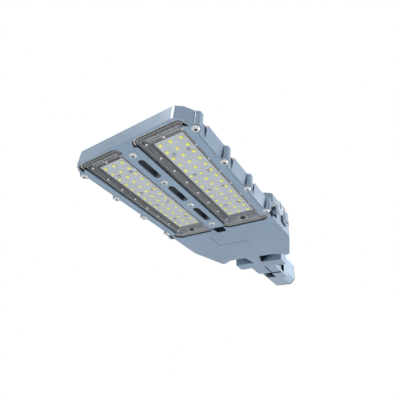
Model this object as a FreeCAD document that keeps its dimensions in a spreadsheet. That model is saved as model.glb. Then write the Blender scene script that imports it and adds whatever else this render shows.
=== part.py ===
import FreeCAD, Part
import math
import os
import Sketcher

# LED street light head: a die-cast frame that holds two LED modules, a driver
# compartment with a hinged lid behind them, and a tilting spigot for the pole.
# The origin is the centre of the spigot's mouth. +X runs to the nose, +Z is up
# and the light leaves downwards, so the left side of the head is +Y.

os.makedirs("parts", exist_ok=True)
doc = FreeCAD.newDocument("street_light_head")
vector = FreeCAD.Vector

# Driving sizes in millimetres
SIZES = (
    # Spigot that slips over the pole
    ("spigot_width", 66),
    ("spigot_corner", 12.5),
    ("spigot_length", 70),
    ("pole_bore", 52),
    ("pole_depth", 60),
    ("cable_bore", 20),
    ("mouth_edge", 1.5),
    ("clamp_screw", 8),
    ("clamp_screw_first", 15),
    ("clamp_screw_pitch", 28),
    ("clamp_screw_reach", 6),
    # Tilting knuckle between spigot and head
    ("pivot_reach", 110),
    ("tooth_radius", 50),
    ("tooth_relief", 2.5),
    ("tooth_relief_start", 97),
    ("tooth_rib", 3),
    ("knuckle_plane", 4),
    ("knuckle_gap", 0.3),
    ("running_gap", 0.08),
    ("socket_gap", 1),
    ("cheek_width", 34),
    ("cheek_end", 149),
    ("pivot_bolt", 12),
    ("pivot_washer", 24),
    ("washer_thickness", 2.5),
    ("hex_head", 18),
    ("hex_head_height", 7.5),
    ("thread_slack", 0.05),
    ("recess_depth", 6),
    ("recess_back", 12),
    ("recess_foot_back", 9),
    ("recess_top", 6.6),
    ("recess_front", 25),
    ("recess_front_lift", 6),
    # Cast housing, rear block first
    ("crossbar_half", 60),
    ("crossbar_end", 180),
    ("neck_half", 10),
    ("neck_root_half", 17),
    ("block_roof", 6),
    ("tub_rear", 216),
    ("tub_rear_half", 44),
    ("tub_bend", 214),
    ("tub_corner", 200),
    ("tub_corner_half", 82),
    ("tub_side_start", 205),
    ("tub_side_start_half", 89),
    ("tub_side_end", 288),
    ("tub_half", 118),
    ("tub_height", 28),
    ("tub_wall", 4),
    ("tub_floor", 4),
    ("tub_cavity_end", 358),
    ("tub_front", 378),
    ("rear_pocket_start", 363),
    ("rear_pocket_half", 10),
    ("rear_pocket_mouth_half", 13),
    ("rear_pocket_depth", 10),
    ("crease_width", 1.2),
    ("crease_depth", 0.8),
    ("crease_start", 304),
    ("crease_end", 352),
    ("crease_half", 39),
    ("corner_round", 5),
    # LED frame of the housing
    ("frame_height", 25),
    ("frame_half", 115.5),
    ("screw_first", 405),
    ("screw_pitch", 80),
    ("screw_count", 4),
    ("row_offset", 116.3),
    ("nose_overhang", 31),
    ("nose_flat_half", 96),
    ("nose_facet", 3),
    ("nose_facet_back", 0.7),
    ("nose_bend_back", 8),
    ("nose_bend_half", 109),
    ("nose_end_back", 22),
    ("nose_end_half", 118),
    ("nose_draft", 2.5),
    ("column_half", 8.3),
    ("column_flat", 3.4),
    ("panel_half", 119.5),
    ("panel_break", 24),
    ("side_wall", 4),
    ("nose_wall", 4),
    ("beam_half", 10),
    ("ledge_bottom", 6),
    ("ledge_height", 4),
    ("ledge_reach", 19),
    ("bay_rear", 376.5),
    ("bay_end", 664),
    # Strips that clamp the modules from below
    ("strip_thickness", 3),
    ("strip_inner", 100),
    ("strip_outer", 112.3),
    ("strip_rear", 392),
    ("strip_front", 658),
    ("strip_tip_back", 8),
    ("strip_lobe", 7),
    ("flare_reach", 18),
    ("flare_shoulder", 9),
    ("flare_shoulder_rise", 2.3),
    ("flare_top", 6.3),
    ("flare_top_rise", 2.8),
    ("centre_strip_half", 18),
    ("centre_strip_rear", 384),
    ("centre_strip_hollow", 649),
    ("centre_strip_hollow_half", 7),
    ("slot_length", 51),
    ("slot_width", 13),
    ("seat_gap", 0.3),
    ("cover_bolt", 6),
    ("cover_bolt_head", 10.4),
    ("cover_bolt_head_height", 3.2),
    ("cover_bolt_key", 4),
    ("cover_bolt_reach", 14),
    ("bolt_hole_spare", 1),
    # LED modules, measured from the centre of their own LED field
    ("module_centre", 519.5),
    ("module_offset", 61),
    ("module_half", 47),
    ("module_front", 150.5),
    ("module_rear", 145.5),
    ("module_corner", 13),
    ("module_gap", 1),
    ("module_flange", 3),
    ("pan_half_length", 139.5),
    ("pan_half_width", 37),
    ("pan_wall", 3),
    ("pan_roof", 2.6),
    ("pan_step_depth", 7),
    ("pan_floor_depth", 11),
    ("pan_well_half_length", 122),
    ("pan_well_half_width", 30.5),
    ("pan_corner", 8),
    ("board_length", 238),
    ("board_width", 53),
    ("board_thickness", 1.6),
    ("led_pitch_along", 17.22),
    ("led_pitch_across", 19.58),
    ("led_count_along", 14),
    ("led_count_across", 3),
    ("led_size", 5),
    ("led_height", 1.7),
    ("lens_thickness", 2),
    ("cover_flange", 1),
    ("cover_wall", 1.6),
    ("lens_gap", 0.4),
    ("lead_gland", 9),
    ("lead_gland_height", 3),
    ("lead_gland_place", 130),
    ("fin_count", 7),
    ("fin_pitch", 11),
    ("fin_thickness", 2),
    ("fin_height", 14),
    ("fin_start", 100),
    ("fin_end", 134),
    # Lid of the driver compartment
    ("lid_half", 119),
    ("lid_front", 385),
    ("lid_front_half", 104),
    ("lid_shoulder", 375),
    ("lid_bottom", 4),
    ("lid_top", 27),
    ("lid_wall", 3.5),
    ("lid_lip_height", 3),
    ("lid_lip_end", 362),
    ("lid_rear", 150),
    ("lid_rear_half", 58),
    ("lid_rear_wall", 172),
    ("lid_swing_gap", 3),
    ("swing_relief_end", 398),
    ("bay_overlap", 1),
    ("swing_relief_depth", 9),
    ("lid_round", 7),
    ("gasket_thickness", 0.7),
    ("gasket_width", 3),
    ("gasket_inset", 0.5),
    ("hinge_place", 375),
    ("hinge_drop", 15),
    ("ear_radius", 11),
    ("ear_start", 108),
    ("ear_end", 127.5),
    ("ear_space", 16),
    ("ear_gap", 1.2),
    ("hinge_shaft", 10),
    ("hinge_head", 29),
    ("hinge_head_height", 5),
    ("hinge_slot_length", 12),
    ("hinge_slot_width", 4),
    ("hinge_slot_depth", 2.5),
    ("hinge_reach", 4.5),
    ("boss_radius", 10),
    ("boss_width", 5.2),
    ("clip_start", 310),
    ("clip_width", 20),
    ("clip_top", 20),
    ("clip_bottom", 21),
    ("clip_thickness", 2),
    ("clip_nub_height", 9),
    ("clip_nub_drop", 13.5),
    # Electrical parts inside the compartment
    ("driver_length", 120),
    ("driver_width", 150),
    ("driver_height", 36),
    ("driver_start", 232),
    ("driver_foot", 9),
    ("driver_foot_width", 30),
    ("driver_foot_height", 3),
    ("driver_edge", 3),
    ("surge_length", 42),
    ("surge_width", 16),
    ("surge_height", 24),
    ("surge_place", 266),
    ("surge_offset", 86),
    ("terminal_width", 14),
    ("terminal_height", 18),
    ("terminal_well_depth", 6),
    ("terminal_way", 10),
    ("terminal_ways", 3),
    ("terminal_hole", 4),
    ("entry_gland", 18),
    ("entry_gland_length", 8),
    ("entry_gland_drop", 16),
)


class Size:
    """A length that knows its value now and the expression that ties it to the sheet."""

    def __init__(self, value, text):
        self.value = float(value)
        self.text = text

    def __float__(self):
        return self.value

    def __neg__(self):
        return Size(-self.value, "(0 - %s)" % self.text)

    def __add__(self, other):
        other = as_size(other)
        return Size(self.value + other.value, "(%s + %s)" % (self.text, other.text))

    def __sub__(self, other):
        other = as_size(other)
        return Size(self.value - other.value, "(%s - %s)" % (self.text, other.text))

    def __mul__(self, factor):
        factor = as_size(factor)
        return Size(self.value * factor.value, "(%s * %s)" % (self.text, factor.text))

    def __truediv__(self, factor):
        factor = as_size(factor)
        return Size(self.value / factor.value, "(%s / %s)" % (self.text, factor.text))

    __radd__ = __add__
    __rmul__ = __mul__


def as_size(number):
    """Wrap a plain number, such as a factor of two, as a Size."""
    if isinstance(number, Size):
        return number
    return Size(number, repr(number))


class SizeSheet:
    """The spreadsheet of driving sizes, one attribute for each alias."""

    def __init__(self, rows):
        self.sheet = doc.addObject("Spreadsheet::Sheet", "sizes")
        for row, (alias, value) in enumerate(rows, 1):
            self.sheet.set("A%d" % row, alias)
            self.sheet.set("B%d" % row, str(value))
            self.sheet.setAlias("B%d" % row, alias)
            setattr(self, alias, Size(value, "sizes.%s" % alias))


s = SizeSheet(SIZES)
doc.recompute()

# Levels and places that several pieces share
ORIGIN = Size(0, "0")
underside = -s.spigot_width / 2
frame_top = underside + s.frame_height
tub_top = underside + s.tub_height
strip_seat = underside + s.strip_thickness
ledge_level = underside + s.ledge_bottom
ledge_top = ledge_level + s.ledge_height
nose = s.screw_first + s.screw_pitch * (s.screw_count - 1) + s.nose_overhang
tooth_face = s.knuckle_plane + s.knuckle_gap / 2
cheek_face = s.knuckle_plane - s.knuckle_gap / 2
cheek_back = cheek_face - s.cheek_width
knuckle_half = s.spigot_width / 2
hinge_level = -s.hinge_drop
lid_underside = -s.lid_bottom
lid_roof = s.lid_top - s.lid_wall
notch_rear = s.hinge_place - s.ear_space - s.ear_gap
notch_inner = s.ear_start - s.seat_gap
tub_floor_level = underside + s.tub_floor

parts = []


def bind(item, name, size):
    """Give a property its size and tie it to the sheet."""
    item.setExpression(name, as_size(size).text)


def new_body(name, x=ORIGIN, y=ORIGIN, z=ORIGIN):
    """Start a body whose own origin lies at x, y, z of the head."""
    body = doc.addObject("PartDesign::Body", name)
    body.Label = name
    body.AllowCompound = True
    for axis, place in (("x", x), ("y", y), ("z", z)):
        bind(body, "Placement.Base.%s" % axis, place)
    parts.append(body)
    return body


def origin_piece(body, role):
    """Find one of the body's own origin planes or axes."""
    return [piece for piece in body.Origin.OriginFeatures if piece.Role == role][0]


def new_sketch(body, name, role, level):
    """Attach an empty sketch to an origin plane, lifted to a level along its normal."""
    sketch = body.newObject("Sketcher::SketchObject", name)
    sketch.AttachmentSupport = [(origin_piece(body, role), "")]
    sketch.MapMode = "FlatFace"
    bind(sketch, "AttachmentOffset.Base.z", level)
    return sketch


def constrain(sketch, size, *what):
    """Add one driving constraint whose value follows the sheet."""
    size = as_size(size)
    number = sketch.addConstraint(Sketcher.Constraint(*what, size.value))
    sketch.setExpression("Constraints[%d]" % number, size.text)


def place_point(sketch, geometry, point, x, y):
    """Fix one point of a sketch by its two distances from the origin."""
    constrain(sketch, x, "DistanceX", -1, 1, geometry, point)
    constrain(sketch, y, "DistanceY", -1, 1, geometry, point)


def outline(body, name, role, level, corners):
    """Sketch one closed outline of straight lines through its corners."""
    sketch = new_sketch(body, name, role, level)
    count = len(corners)
    points = [vector(float(x), float(y), 0) for x, y in corners]
    for index in range(count):
        sketch.addGeometry(Part.LineSegment(points[index], points[(index + 1) % count]))
    for index in range(count):
        sketch.addConstraint(Sketcher.Constraint("Coincident", index, 2, (index + 1) % count, 1))
    for index, (x, y) in enumerate(corners):
        place_point(sketch, index, 1, x, y)
    return sketch


def rectangle(body, name, role, level, left, right, bottom, top):
    """Sketch a rectangle from its four sides."""
    corners = [(left, bottom), (right, bottom), (right, top), (left, top)]
    return outline(body, name, role, level, corners)


def circles(body, name, role, level, rounds):
    """Sketch full circles, each given by x, y and its diameter."""
    sketch = new_sketch(body, name, role, level)
    for index, (x, y, across) in enumerate(rounds):
        centre = vector(float(x), float(y), 0)
        sketch.addGeometry(Part.Circle(centre, vector(0, 0, 1), float(across) / 2))
        place_point(sketch, index, 3, x, y)
        constrain(sketch, across, "Diameter", index)
    return sketch


def slot(body, name, role, level, x, y, length, width):
    """Sketch an oblong slot along the sketch's own x direction."""
    sketch = new_sketch(body, name, role, level)
    half = (length - width) / 2
    centre, reach, radius = float(x), float(half), float(width) / 2
    upper, lower = float(y) + radius, float(y) - radius
    ends = (vector(centre - reach, float(y), 0), vector(centre + reach, float(y), 0))
    round_end = [Part.Circle(end, vector(0, 0, 1), radius) for end in ends]
    sketch.addGeometry(Part.LineSegment(vector(ends[0].x, upper, 0), vector(ends[1].x, upper, 0)))
    sketch.addGeometry(Part.ArcOfCircle(round_end[1], -math.pi / 2, math.pi / 2))
    sketch.addGeometry(Part.LineSegment(vector(ends[1].x, lower, 0), vector(ends[0].x, lower, 0)))
    sketch.addGeometry(Part.ArcOfCircle(round_end[0], math.pi / 2, 3 * math.pi / 2))
    for first, end, second, start in ((0, 2, 1, 2), (1, 1, 2, 1), (2, 2, 3, 2), (3, 1, 0, 1)):
        sketch.addConstraint(Sketcher.Constraint("Tangent", first, end, second, start))
    sketch.addConstraint(Sketcher.Constraint("Equal", 1, 3))
    constrain(sketch, width / 2, "Radius", 1)
    place_point(sketch, 1, 3, x + half, y)
    place_point(sketch, 3, 3, x - half, y)
    return sketch


def pad(body, name, sketch, length, backwards=False):
    """Extrude a sketch into material."""
    feature = body.newObject("PartDesign::Pad", name)
    feature.Profile = sketch
    feature.Reversed = backwards
    bind(feature, "Length", length)
    doc.recompute()
    return feature


def pocket(body, name, sketch, depth, forwards=False):
    """Cut a sketch out of the body and make sure that it removed material."""
    before = body.Shape.Volume
    feature = body.newObject("PartDesign::Pocket", name)
    feature.Profile = sketch
    feature.Reversed = forwards
    bind(feature, "Length", depth)
    doc.recompute()
    if not body.Shape.Volume < before:
        raise ValueError("pocket %s cuts nothing" % name)
    return feature


def repeat(body, name, features, axis, count, spacing, backwards=False):
    """Repeat features in a row along an axis of the body."""
    row = body.newObject("PartDesign::LinearPattern", name)
    row.Originals = features
    row.Direction = (origin_piece(body, axis), [""])
    row.Mode = "Spacing"
    row.Reversed = backwards
    bind(row, "Offset", spacing)
    bind(row, "Occurrences", count)
    body.Tip = row
    doc.recompute()
    return row


def mirror(body, name, features, role):
    """Copy features to the other side of an origin plane of the body."""
    copy = body.newObject("PartDesign::Mirrored", name)
    copy.Originals = features
    copy.MirrorPlane = (origin_piece(body, role), [""])
    body.Tip = copy
    doc.recompute()
    return copy


def mirror_all(body, name, role):
    """Copy all that the body is so far to the other side of an origin plane."""
    copy = body.newObject("PartDesign::Mirrored", name)
    copy.TransformMode = "Whole shape"
    copy.MirrorPlane = (origin_piece(body, role), [""])
    body.Tip = copy
    doc.recompute()
    return copy


def upright_edges(body, places):
    """Name the straight upright edges that stand at the given places."""
    names = []
    for number, edge in enumerate(body.Shape.Edges, 1):
        first, last = edge.Vertexes[0].Point, edge.Vertexes[-1].Point
        across = math.hypot(first.x - last.x, first.y - last.y)
        if across > 0.01 or len(edge.Vertexes) < 2:
            continue
        for x, y in places:
            shift = body.Placement.Base
            if math.hypot(first.x - shift.x - float(x), first.y - shift.y - float(y)) < 0.01:
                names.append("Edge%d" % number)
    return names


def level_edges(body, level, smallest):
    """Name the edges that lie flat at one height and are at least so long."""
    names = []
    for number, edge in enumerate(body.Shape.Edges, 1):
        box = edge.BoundBox
        height = float(level) + body.Placement.Base.z
        if abs(box.ZMin - height) < 0.01 and abs(box.ZMax - height) < 0.01:
            if edge.Length >= smallest:
                names.append("Edge%d" % number)
    return names


def fillet(body, name, edges, radius):
    """Round the named edges of the body as it is so far."""
    base = body.Tip
    feature = body.newObject("PartDesign::Fillet", name)
    feature.Base = (base, edges)
    bind(feature, "Radius", radius)
    doc.recompute()
    return feature


def chamfer(body, name, edges, size):
    """Bevel the named edges of the body as it is so far."""
    base = body.Tip
    feature = body.newObject("PartDesign::Chamfer", name)
    feature.Base = (base, edges)
    bind(feature, "Size", size)
    doc.recompute()
    return feature


def both_sides(half):
    """Close a half outline that runs along +Y with its mirror image."""
    return list(half) + [(x, -y) for x, y in reversed(half)]


def build_spigot():
    """Eight-sided pole socket with one thick tooth that enters the head."""
    body = new_body("spigot")
    half = knuckle_half
    section = octagon(ORIGIN, ORIGIN, half, half - s.spigot_corner)
    pad(body, "tube", outline(body, "tube_section", "YZ_Plane", ORIGIN, section), s.spigot_length)
    tooth_width = half - tooth_face
    root = rectangle(body, "tooth_root_plan", "XZ_Plane", -half,
                     s.pole_depth, s.pivot_reach, -half, half)
    pad(body, "tooth_root", root, tooth_width)
    disc = circles(body, "tooth_plan", "XZ_Plane", -half,
                   [(s.pivot_reach, ORIGIN, s.tooth_radius * 2)])
    pad(body, "tooth_disc", disc, tooth_width)
    for name, low in (("tooth_top", half), ("tooth_foot", -half - s.tooth_radius)):
        waste = rectangle(body, name + "_waste", "XZ_Plane", -half - s.socket_gap,
                          s.spigot_length, s.pivot_reach + s.tooth_radius, low, low + s.tooth_radius)
        pocket(body, name, waste, tooth_width + s.socket_gap * 2, forwards=True)
    relief = rectangle(body, "tooth_relief_plan", "XY_Plane", -half,
                       s.tooth_relief_start, s.pivot_reach + s.tooth_radius,
                       tooth_face - s.socket_gap, half - s.tooth_rib)
    pocket(body, "tooth_relief", relief, s.tooth_relief, forwards=True)
    bore = circles(body, "pole_bore_plan", "YZ_Plane", ORIGIN, [(ORIGIN, ORIGIN, s.pole_bore)])
    pocket(body, "pole_socket", bore, s.pole_depth, forwards=True)
    way = circles(body, "cable_plan", "YZ_Plane", ORIGIN,
                  [(-s.cable_bore / 2 - s.knuckle_gap, ORIGIN, s.cable_bore)])
    pocket(body, "cable_way", way, s.spigot_length, forwards=True)
    recess = outline(body, "recess_plan", "XZ_Plane", -half,
                     [(s.tooth_relief_start - s.recess_back, -s.recess_top),
                      (s.tooth_relief_start - s.recess_foot_back, -half + s.tooth_rib),
                      (s.pivot_reach + s.recess_front, -half + s.recess_front_lift)])
    pocket(body, "side_recess", recess, s.recess_depth, forwards=True)
    bolt_hole = circles(body, "bolt_hole_plan", "XZ_Plane", -tooth_face,
                        [(s.pivot_reach, ORIGIN, s.pivot_bolt + s.thread_slack * 2)])
    pocket(body, "bolt_hole", bolt_hole, tooth_width - s.tooth_rib)
    screw_hole = circles(body, "clamp_hole_plan", "XY_Plane", half,
                         [(s.clamp_screw_first, ORIGIN, s.clamp_screw + s.thread_slack * 2)])
    hole = pocket(body, "clamp_hole", screw_hole, half)
    repeat(body, "clamp_holes", [hole], "X_Axis", 2, s.clamp_screw_pitch)
    rim = [("Edge%d" % number) for number, edge in enumerate(body.Shape.Edges, 1)
           if edge.BoundBox.XMax < 0.01 and len(edge.Vertexes) == 2]
    chamfer(body, "mouth_bevel", rim, s.mouth_edge)


def build_clamp_screws():
    """Two socket set screws that grip the pole from above."""
    body = new_body("clamp_screws", x=s.clamp_screw_first, z=s.pole_bore / 2 + s.seat_gap)
    shank = circles(body, "screw_plan", "XY_Plane", ORIGIN, [(ORIGIN, ORIGIN, s.clamp_screw)])
    screw = pad(body, "screw", shank, s.clamp_screw_reach)
    key = outline(body, "key_plan", "XY_Plane", s.clamp_screw_reach, hexagon(s.clamp_screw / 2))
    socket = pocket(body, "key", key, s.clamp_screw_reach / 2)
    repeat(body, "screws", [screw, socket], "X_Axis", 2, s.clamp_screw_pitch)


def hexagon(across):
    """Corners of a regular hexagon with the given distance across its flats."""
    reach = across / 2
    corners = []
    for index in range(6):
        turn = math.radians(60 * index + 30)
        slant = 1 / math.cos(math.radians(30))
        corners.append((reach * (math.cos(turn) * slant), reach * (math.sin(turn) * slant)))
    return corners


def build_pivot_bolt():
    """Tilt bolt that goes through the head's cheek into the spigot's tooth."""
    body = new_body("pivot_bolt", x=s.pivot_reach, y=cheek_back - s.washer_thickness)
    head = outline(body, "head_plan", "XZ_Plane", ORIGIN, hexagon(s.hex_head))
    pad(body, "head", head, s.hex_head_height)
    shank = circles(body, "shank_plan", "XZ_Plane", ORIGIN, [(ORIGIN, ORIGIN, s.pivot_bolt)])
    through = s.washer_thickness + s.cheek_width + s.knuckle_gap
    reach = knuckle_half - tooth_face - s.tooth_rib * 2
    pad(body, "shank", shank, through + reach, backwards=True)


def build_pivot_washer():
    """Washer under the head of the tilt bolt."""
    body = new_body("pivot_washer", x=s.pivot_reach, y=cheek_back)
    ring = circles(body, "ring_plan", "XZ_Plane", ORIGIN,
                   [(ORIGIN, ORIGIN, s.pivot_washer),
                    (ORIGIN, ORIGIN, s.pivot_bolt + s.knuckle_gap * 2)])
    pad(body, "ring", ring, s.washer_thickness)


def octagon(x, y, half, flat):
    """Corners of an octagon round x, y: half its width, and half its flat on each side."""
    around = [(-half, -flat), (-flat, -half), (flat, -half), (half, -flat),
              (half, flat), (flat, half), (-flat, half), (-half, flat)]
    return [(x + across, y + along) for across, along in around]


def tub_half_outline(inset, front):
    """Left half of the driver compartment's outline, from its rear middle forwards."""
    return [(s.tub_rear + inset, s.tub_rear_half),
            (s.tub_bend + inset, s.crossbar_half),
            (s.tub_corner + inset, s.tub_corner_half - inset / 2),
            (s.tub_side_start + inset, s.tub_side_start_half - inset),
            (s.tub_side_end, s.tub_half - inset),
            (front, s.tub_half - inset)]


def compartment_half_outline(inset, front):
    """Left half of the compartment's inside, stepped in behind the hinge notch."""
    rear = tub_half_outline(inset, notch_rear - inset)
    return rear + [(notch_rear - inset, notch_inner - inset), (front, notch_inner - inset)]


def strip_corners(grow):
    """Plan of the left clamping strip, made larger all round by grow."""
    tip = s.strip_tip_back
    return [(s.strip_rear - grow, s.strip_inner - grow),
            (s.strip_front - tip / 2 + grow, s.strip_inner - grow),
            (s.strip_front + grow, s.strip_inner + tip / 4),
            (s.strip_front - tip + grow, s.strip_outer + grow),
            (s.strip_rear - grow, s.strip_outer + grow)]


def flare_corners(side, grow):
    """Plan of one flare of a side strip round its screw, made larger by grow."""
    profile = [(s.flare_reach, -s.flare_shoulder_rise - grow), (s.flare_reach, grow),
               (s.flare_shoulder, s.flare_shoulder_rise + grow),
               (s.flare_top, s.row_offset - s.strip_outer + s.flare_top_rise + grow)]
    ahead = [(s.screw_first + x + grow, (s.strip_outer + y) * side) for x, y in profile]
    behind = [(s.screw_first - x - grow, (s.strip_outer + y) * side) for x, y in profile]
    return ahead + behind[::-1]


def centre_strip_corners(grow):
    """Plan of the centre strip with its hollow front end, made larger by grow."""
    half = s.centre_strip_half
    tip = s.strip_tip_back / 4
    return both_sides([(s.centre_strip_rear - grow, half - tip * 2 + grow),
                       (s.centre_strip_rear + tip * 2, half + grow),
                       (s.strip_front - tip * 2 + grow, half + grow),
                       (s.strip_front + grow, half - tip + grow),
                       (s.centre_strip_hollow + grow, s.centre_strip_hollow_half)])


def build_housing():
    """The casting: LED frame, driver compartment, rear block and tilt cheek."""
    body = new_body("housing")
    add_housing_mass(body)
    cut_driver_compartment(body)
    cut_module_bays(body)
    cut_compartment_floor(body)
    cut_rear_block(body)
    cut_hinge_notches(body)
    add_clip_nubs(body)
    cut_strip_seats(body)


def add_housing_mass(body):
    """Solid forms of the casting before it is hollowed."""
    nose_half = [(s.bay_rear, s.frame_half),
                 (nose - s.nose_end_back - s.nose_draft, s.frame_half),
                 (nose - s.nose_end_back, s.nose_end_half),
                 (nose - s.nose_bend_back, s.nose_bend_half),
                 (nose - s.nose_facet_back, s.nose_flat_half + s.nose_facet),
                 (nose, s.nose_flat_half)]
    frame = outline(body, "frame_plan", "XY_Plane", underside, both_sides(nose_half))
    pad(body, "frame", frame, s.frame_height)
    for name, side in (("left", 1), ("right", -1)):
        corners = octagon(s.screw_first, s.row_offset * side, s.column_half, s.column_flat)
        column = outline(body, name + "_column_plan", "XY_Plane", underside, corners)
        first = pad(body, name + "_column", column, s.frame_height)
        repeat(body, name + "_columns", [first], "X_Axis", s.screw_count, s.screw_pitch)
        inner = (s.frame_half - s.side_wall) * side
        leaning = outline(body, name + "_panel_section", "YZ_Plane", s.screw_first,
                          [(inner, underside), (s.frame_half * side, underside),
                           (s.panel_half * side, frame_top), (inner, frame_top)])
        panel = pad(body, name + "_panel", leaning, s.screw_pitch - s.panel_break)
        repeat(body, name + "_panels", [panel], "X_Axis", s.screw_count - 1, s.screw_pitch)
    tub = outline(body, "tub_plan", "XY_Plane", underside,
                  both_sides(tub_half_outline(ORIGIN, s.tub_front)))
    pad(body, "tub", tub, s.tub_height)
    corners = [(s.tub_corner, s.tub_corner_half), (s.tub_side_start, s.tub_side_start_half)]
    edges = upright_edges(body, corners + [(x, -y) for x, y in corners])
    fillet(body, "tub_corners", edges, s.corner_round)
    block = rectangle(body, "block_plan", "XY_Plane", underside,
                      s.cheek_end, s.tub_rear, -s.crossbar_half, s.crossbar_half)
    pad(body, "rear_block", block, s.tub_height)
    root = rectangle(body, "cheek_root_plan", "XZ_Plane", -cheek_face,
                     s.pivot_reach, s.cheek_end, underside, -underside)
    pad(body, "cheek_root", root, s.cheek_width)
    cheek = circles(body, "cheek_plan", "XZ_Plane", -cheek_face,
                    [(s.pivot_reach, ORIGIN, s.spigot_width)])
    pad(body, "cheek", cheek, s.cheek_width)


def cut_driver_compartment(body):
    """Hollow of the compartment, open at the top."""
    cavity = outline(body, "cavity_plan", "XY_Plane", tub_top,
                     both_sides(compartment_half_outline(s.tub_wall, s.tub_cavity_end)))
    pocket(body, "driver_cavity", cavity, s.tub_height - s.tub_floor)


def cut_module_bays(body):
    """Two bays open right through the frame, each with a ledge for its module."""
    ledge_inner = s.ledge_reach
    ledge_outer = s.module_offset * 2 - s.ledge_reach
    seat_gap = s.module_gap
    module_front = s.module_centre + s.module_front + seat_gap
    module_rear = s.module_centre - s.module_rear - seat_gap
    near = s.module_offset - s.module_half - seat_gap
    far = s.module_offset + s.module_half + seat_gap
    seat = rectangle(body, "seat_plan", "XY_Plane", underside,
                     module_rear, module_front, near, far)
    pocket(body, "module_seat", seat, s.ledge_bottom, forwards=True)
    mirror_seat = rectangle(body, "right_seat_plan", "XY_Plane", underside,
                            module_rear, module_front, -far, -near)
    pocket(body, "right_module_seat", mirror_seat, s.ledge_bottom, forwards=True)
    places = [(x, y) for x in (module_rear, module_front) for y in (near, far, -near, -far)]
    fillet(body, "seat_corners", upright_edges(body, places), s.module_corner + seat_gap)
    opening = rectangle(body, "opening_plan", "XY_Plane", ledge_level,
                        s.bay_rear, s.bay_end, ledge_inner, ledge_outer)
    opening_cut = pocket(body, "ledge_opening", opening, s.frame_height, forwards=True)
    upper = outline(body, "upper_plan", "XY_Plane", ledge_top,
                    [(s.bay_rear, s.beam_half), (nose - s.nose_wall, s.beam_half),
                     (nose - s.nose_wall, s.nose_flat_half), (nose - s.nose_end_back, s.nose_bend_half),
                     (nose - s.nose_end_back - s.nose_bend_back, s.frame_half - s.side_wall),
                     (s.bay_rear, s.frame_half - s.side_wall)])
    upper_cut = pocket(body, "upper_bay", upper, s.frame_height, forwards=True)
    mirror(body, "right_bay", [opening_cut, upper_cut], "XZ_Plane")


def cut_strip_seats(body):
    """Shallow seats for the three strips, air slots and screw holes below them."""
    depth = s.strip_thickness
    side = outline(body, "side_seat_plan", "XY_Plane", underside, strip_corners(s.seat_gap))
    side_cut = pocket(body, "side_seat", side, depth, forwards=True)
    mirror(body, "right_side_seat", [side_cut], "XZ_Plane")
    centre = outline(body, "centre_seat_plan", "XY_Plane", underside,
                     centre_strip_corners(s.seat_gap))
    pocket(body, "centre_seat", centre, depth, forwards=True)
    across = s.cover_bolt + s.thread_slack * 2
    rows = [(s.screw_first, row, across) for row in (-s.row_offset, ORIGIN, s.row_offset)]
    holes = circles(body, "bolt_holes_plan", "XY_Plane", strip_seat, rows)
    hole_cut = pocket(body, "bolt_hole_row", holes, s.cover_bolt_reach + s.bolt_hole_spare, forwards=True)
    repeat(body, "bolt_hole_rows", [hole_cut], "X_Axis", s.screw_count, s.screw_pitch)
    gap = slot(body, "air_slot_plan", "XY_Plane", strip_seat,
               s.screw_first + s.screw_pitch / 2, ORIGIN, s.slot_length, s.slot_width)
    gap_cut = pocket(body, "air_slot", gap, s.frame_height, forwards=True)
    repeat(body, "air_slots", [gap_cut], "X_Axis", s.screw_count - 1, s.screw_pitch)
    across = s.strip_lobe * 2 + s.seat_gap * 2
    lobe = circles(body, "lobe_seat_plan", "XY_Plane", underside,
                   [(s.screw_first, s.row_offset, across), (s.screw_first, -s.row_offset, across)])
    seats = [pocket(body, "lobe_seat", lobe, depth, forwards=True)]
    for name, side in (("left", 1), ("right", -1)):
        flare = outline(body, name + "_flare_plan", "XY_Plane", underside,
                        flare_corners(side, s.seat_gap))
        seats.append(pocket(body, name + "_flare_seat", flare, depth, forwards=True))
    repeat(body, "lobe_seats", seats, "X_Axis", s.screw_count, s.screw_pitch)


def cut_compartment_floor(body):
    """Pocket behind the centre strip, crease of the underside and room for the lid's swing."""
    shade = outline(body, "rear_pocket_plan", "XY_Plane", underside,
                    both_sides([(s.rear_pocket_start, s.rear_pocket_half),
                                (s.bay_rear, s.rear_pocket_mouth_half),
                                (s.centre_strip_rear, s.rear_pocket_mouth_half)]))
    pocket(body, "rear_pocket", shade, s.rear_pocket_depth, forwards=True)
    width = s.crease_width
    crease = outline(body, "crease_plan", "XY_Plane", underside,
                     [(s.crease_start, s.crease_half), (s.crease_start, -s.crease_half),
                      (s.crease_end, -s.crease_half), (s.crease_end, -s.crease_half + width),
                      (s.crease_start + width, -s.crease_half + width),
                      (s.crease_start + width, s.crease_half)])
    pocket(body, "crease", crease, s.crease_depth, forwards=True)
    relief = rectangle(body, "swing_plan", "XY_Plane", frame_top, s.tub_front, s.swing_relief_end,
                       -s.beam_half - s.bay_overlap, s.beam_half + s.bay_overlap)
    pocket(body, "swing_relief", relief, s.swing_relief_depth)


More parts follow.
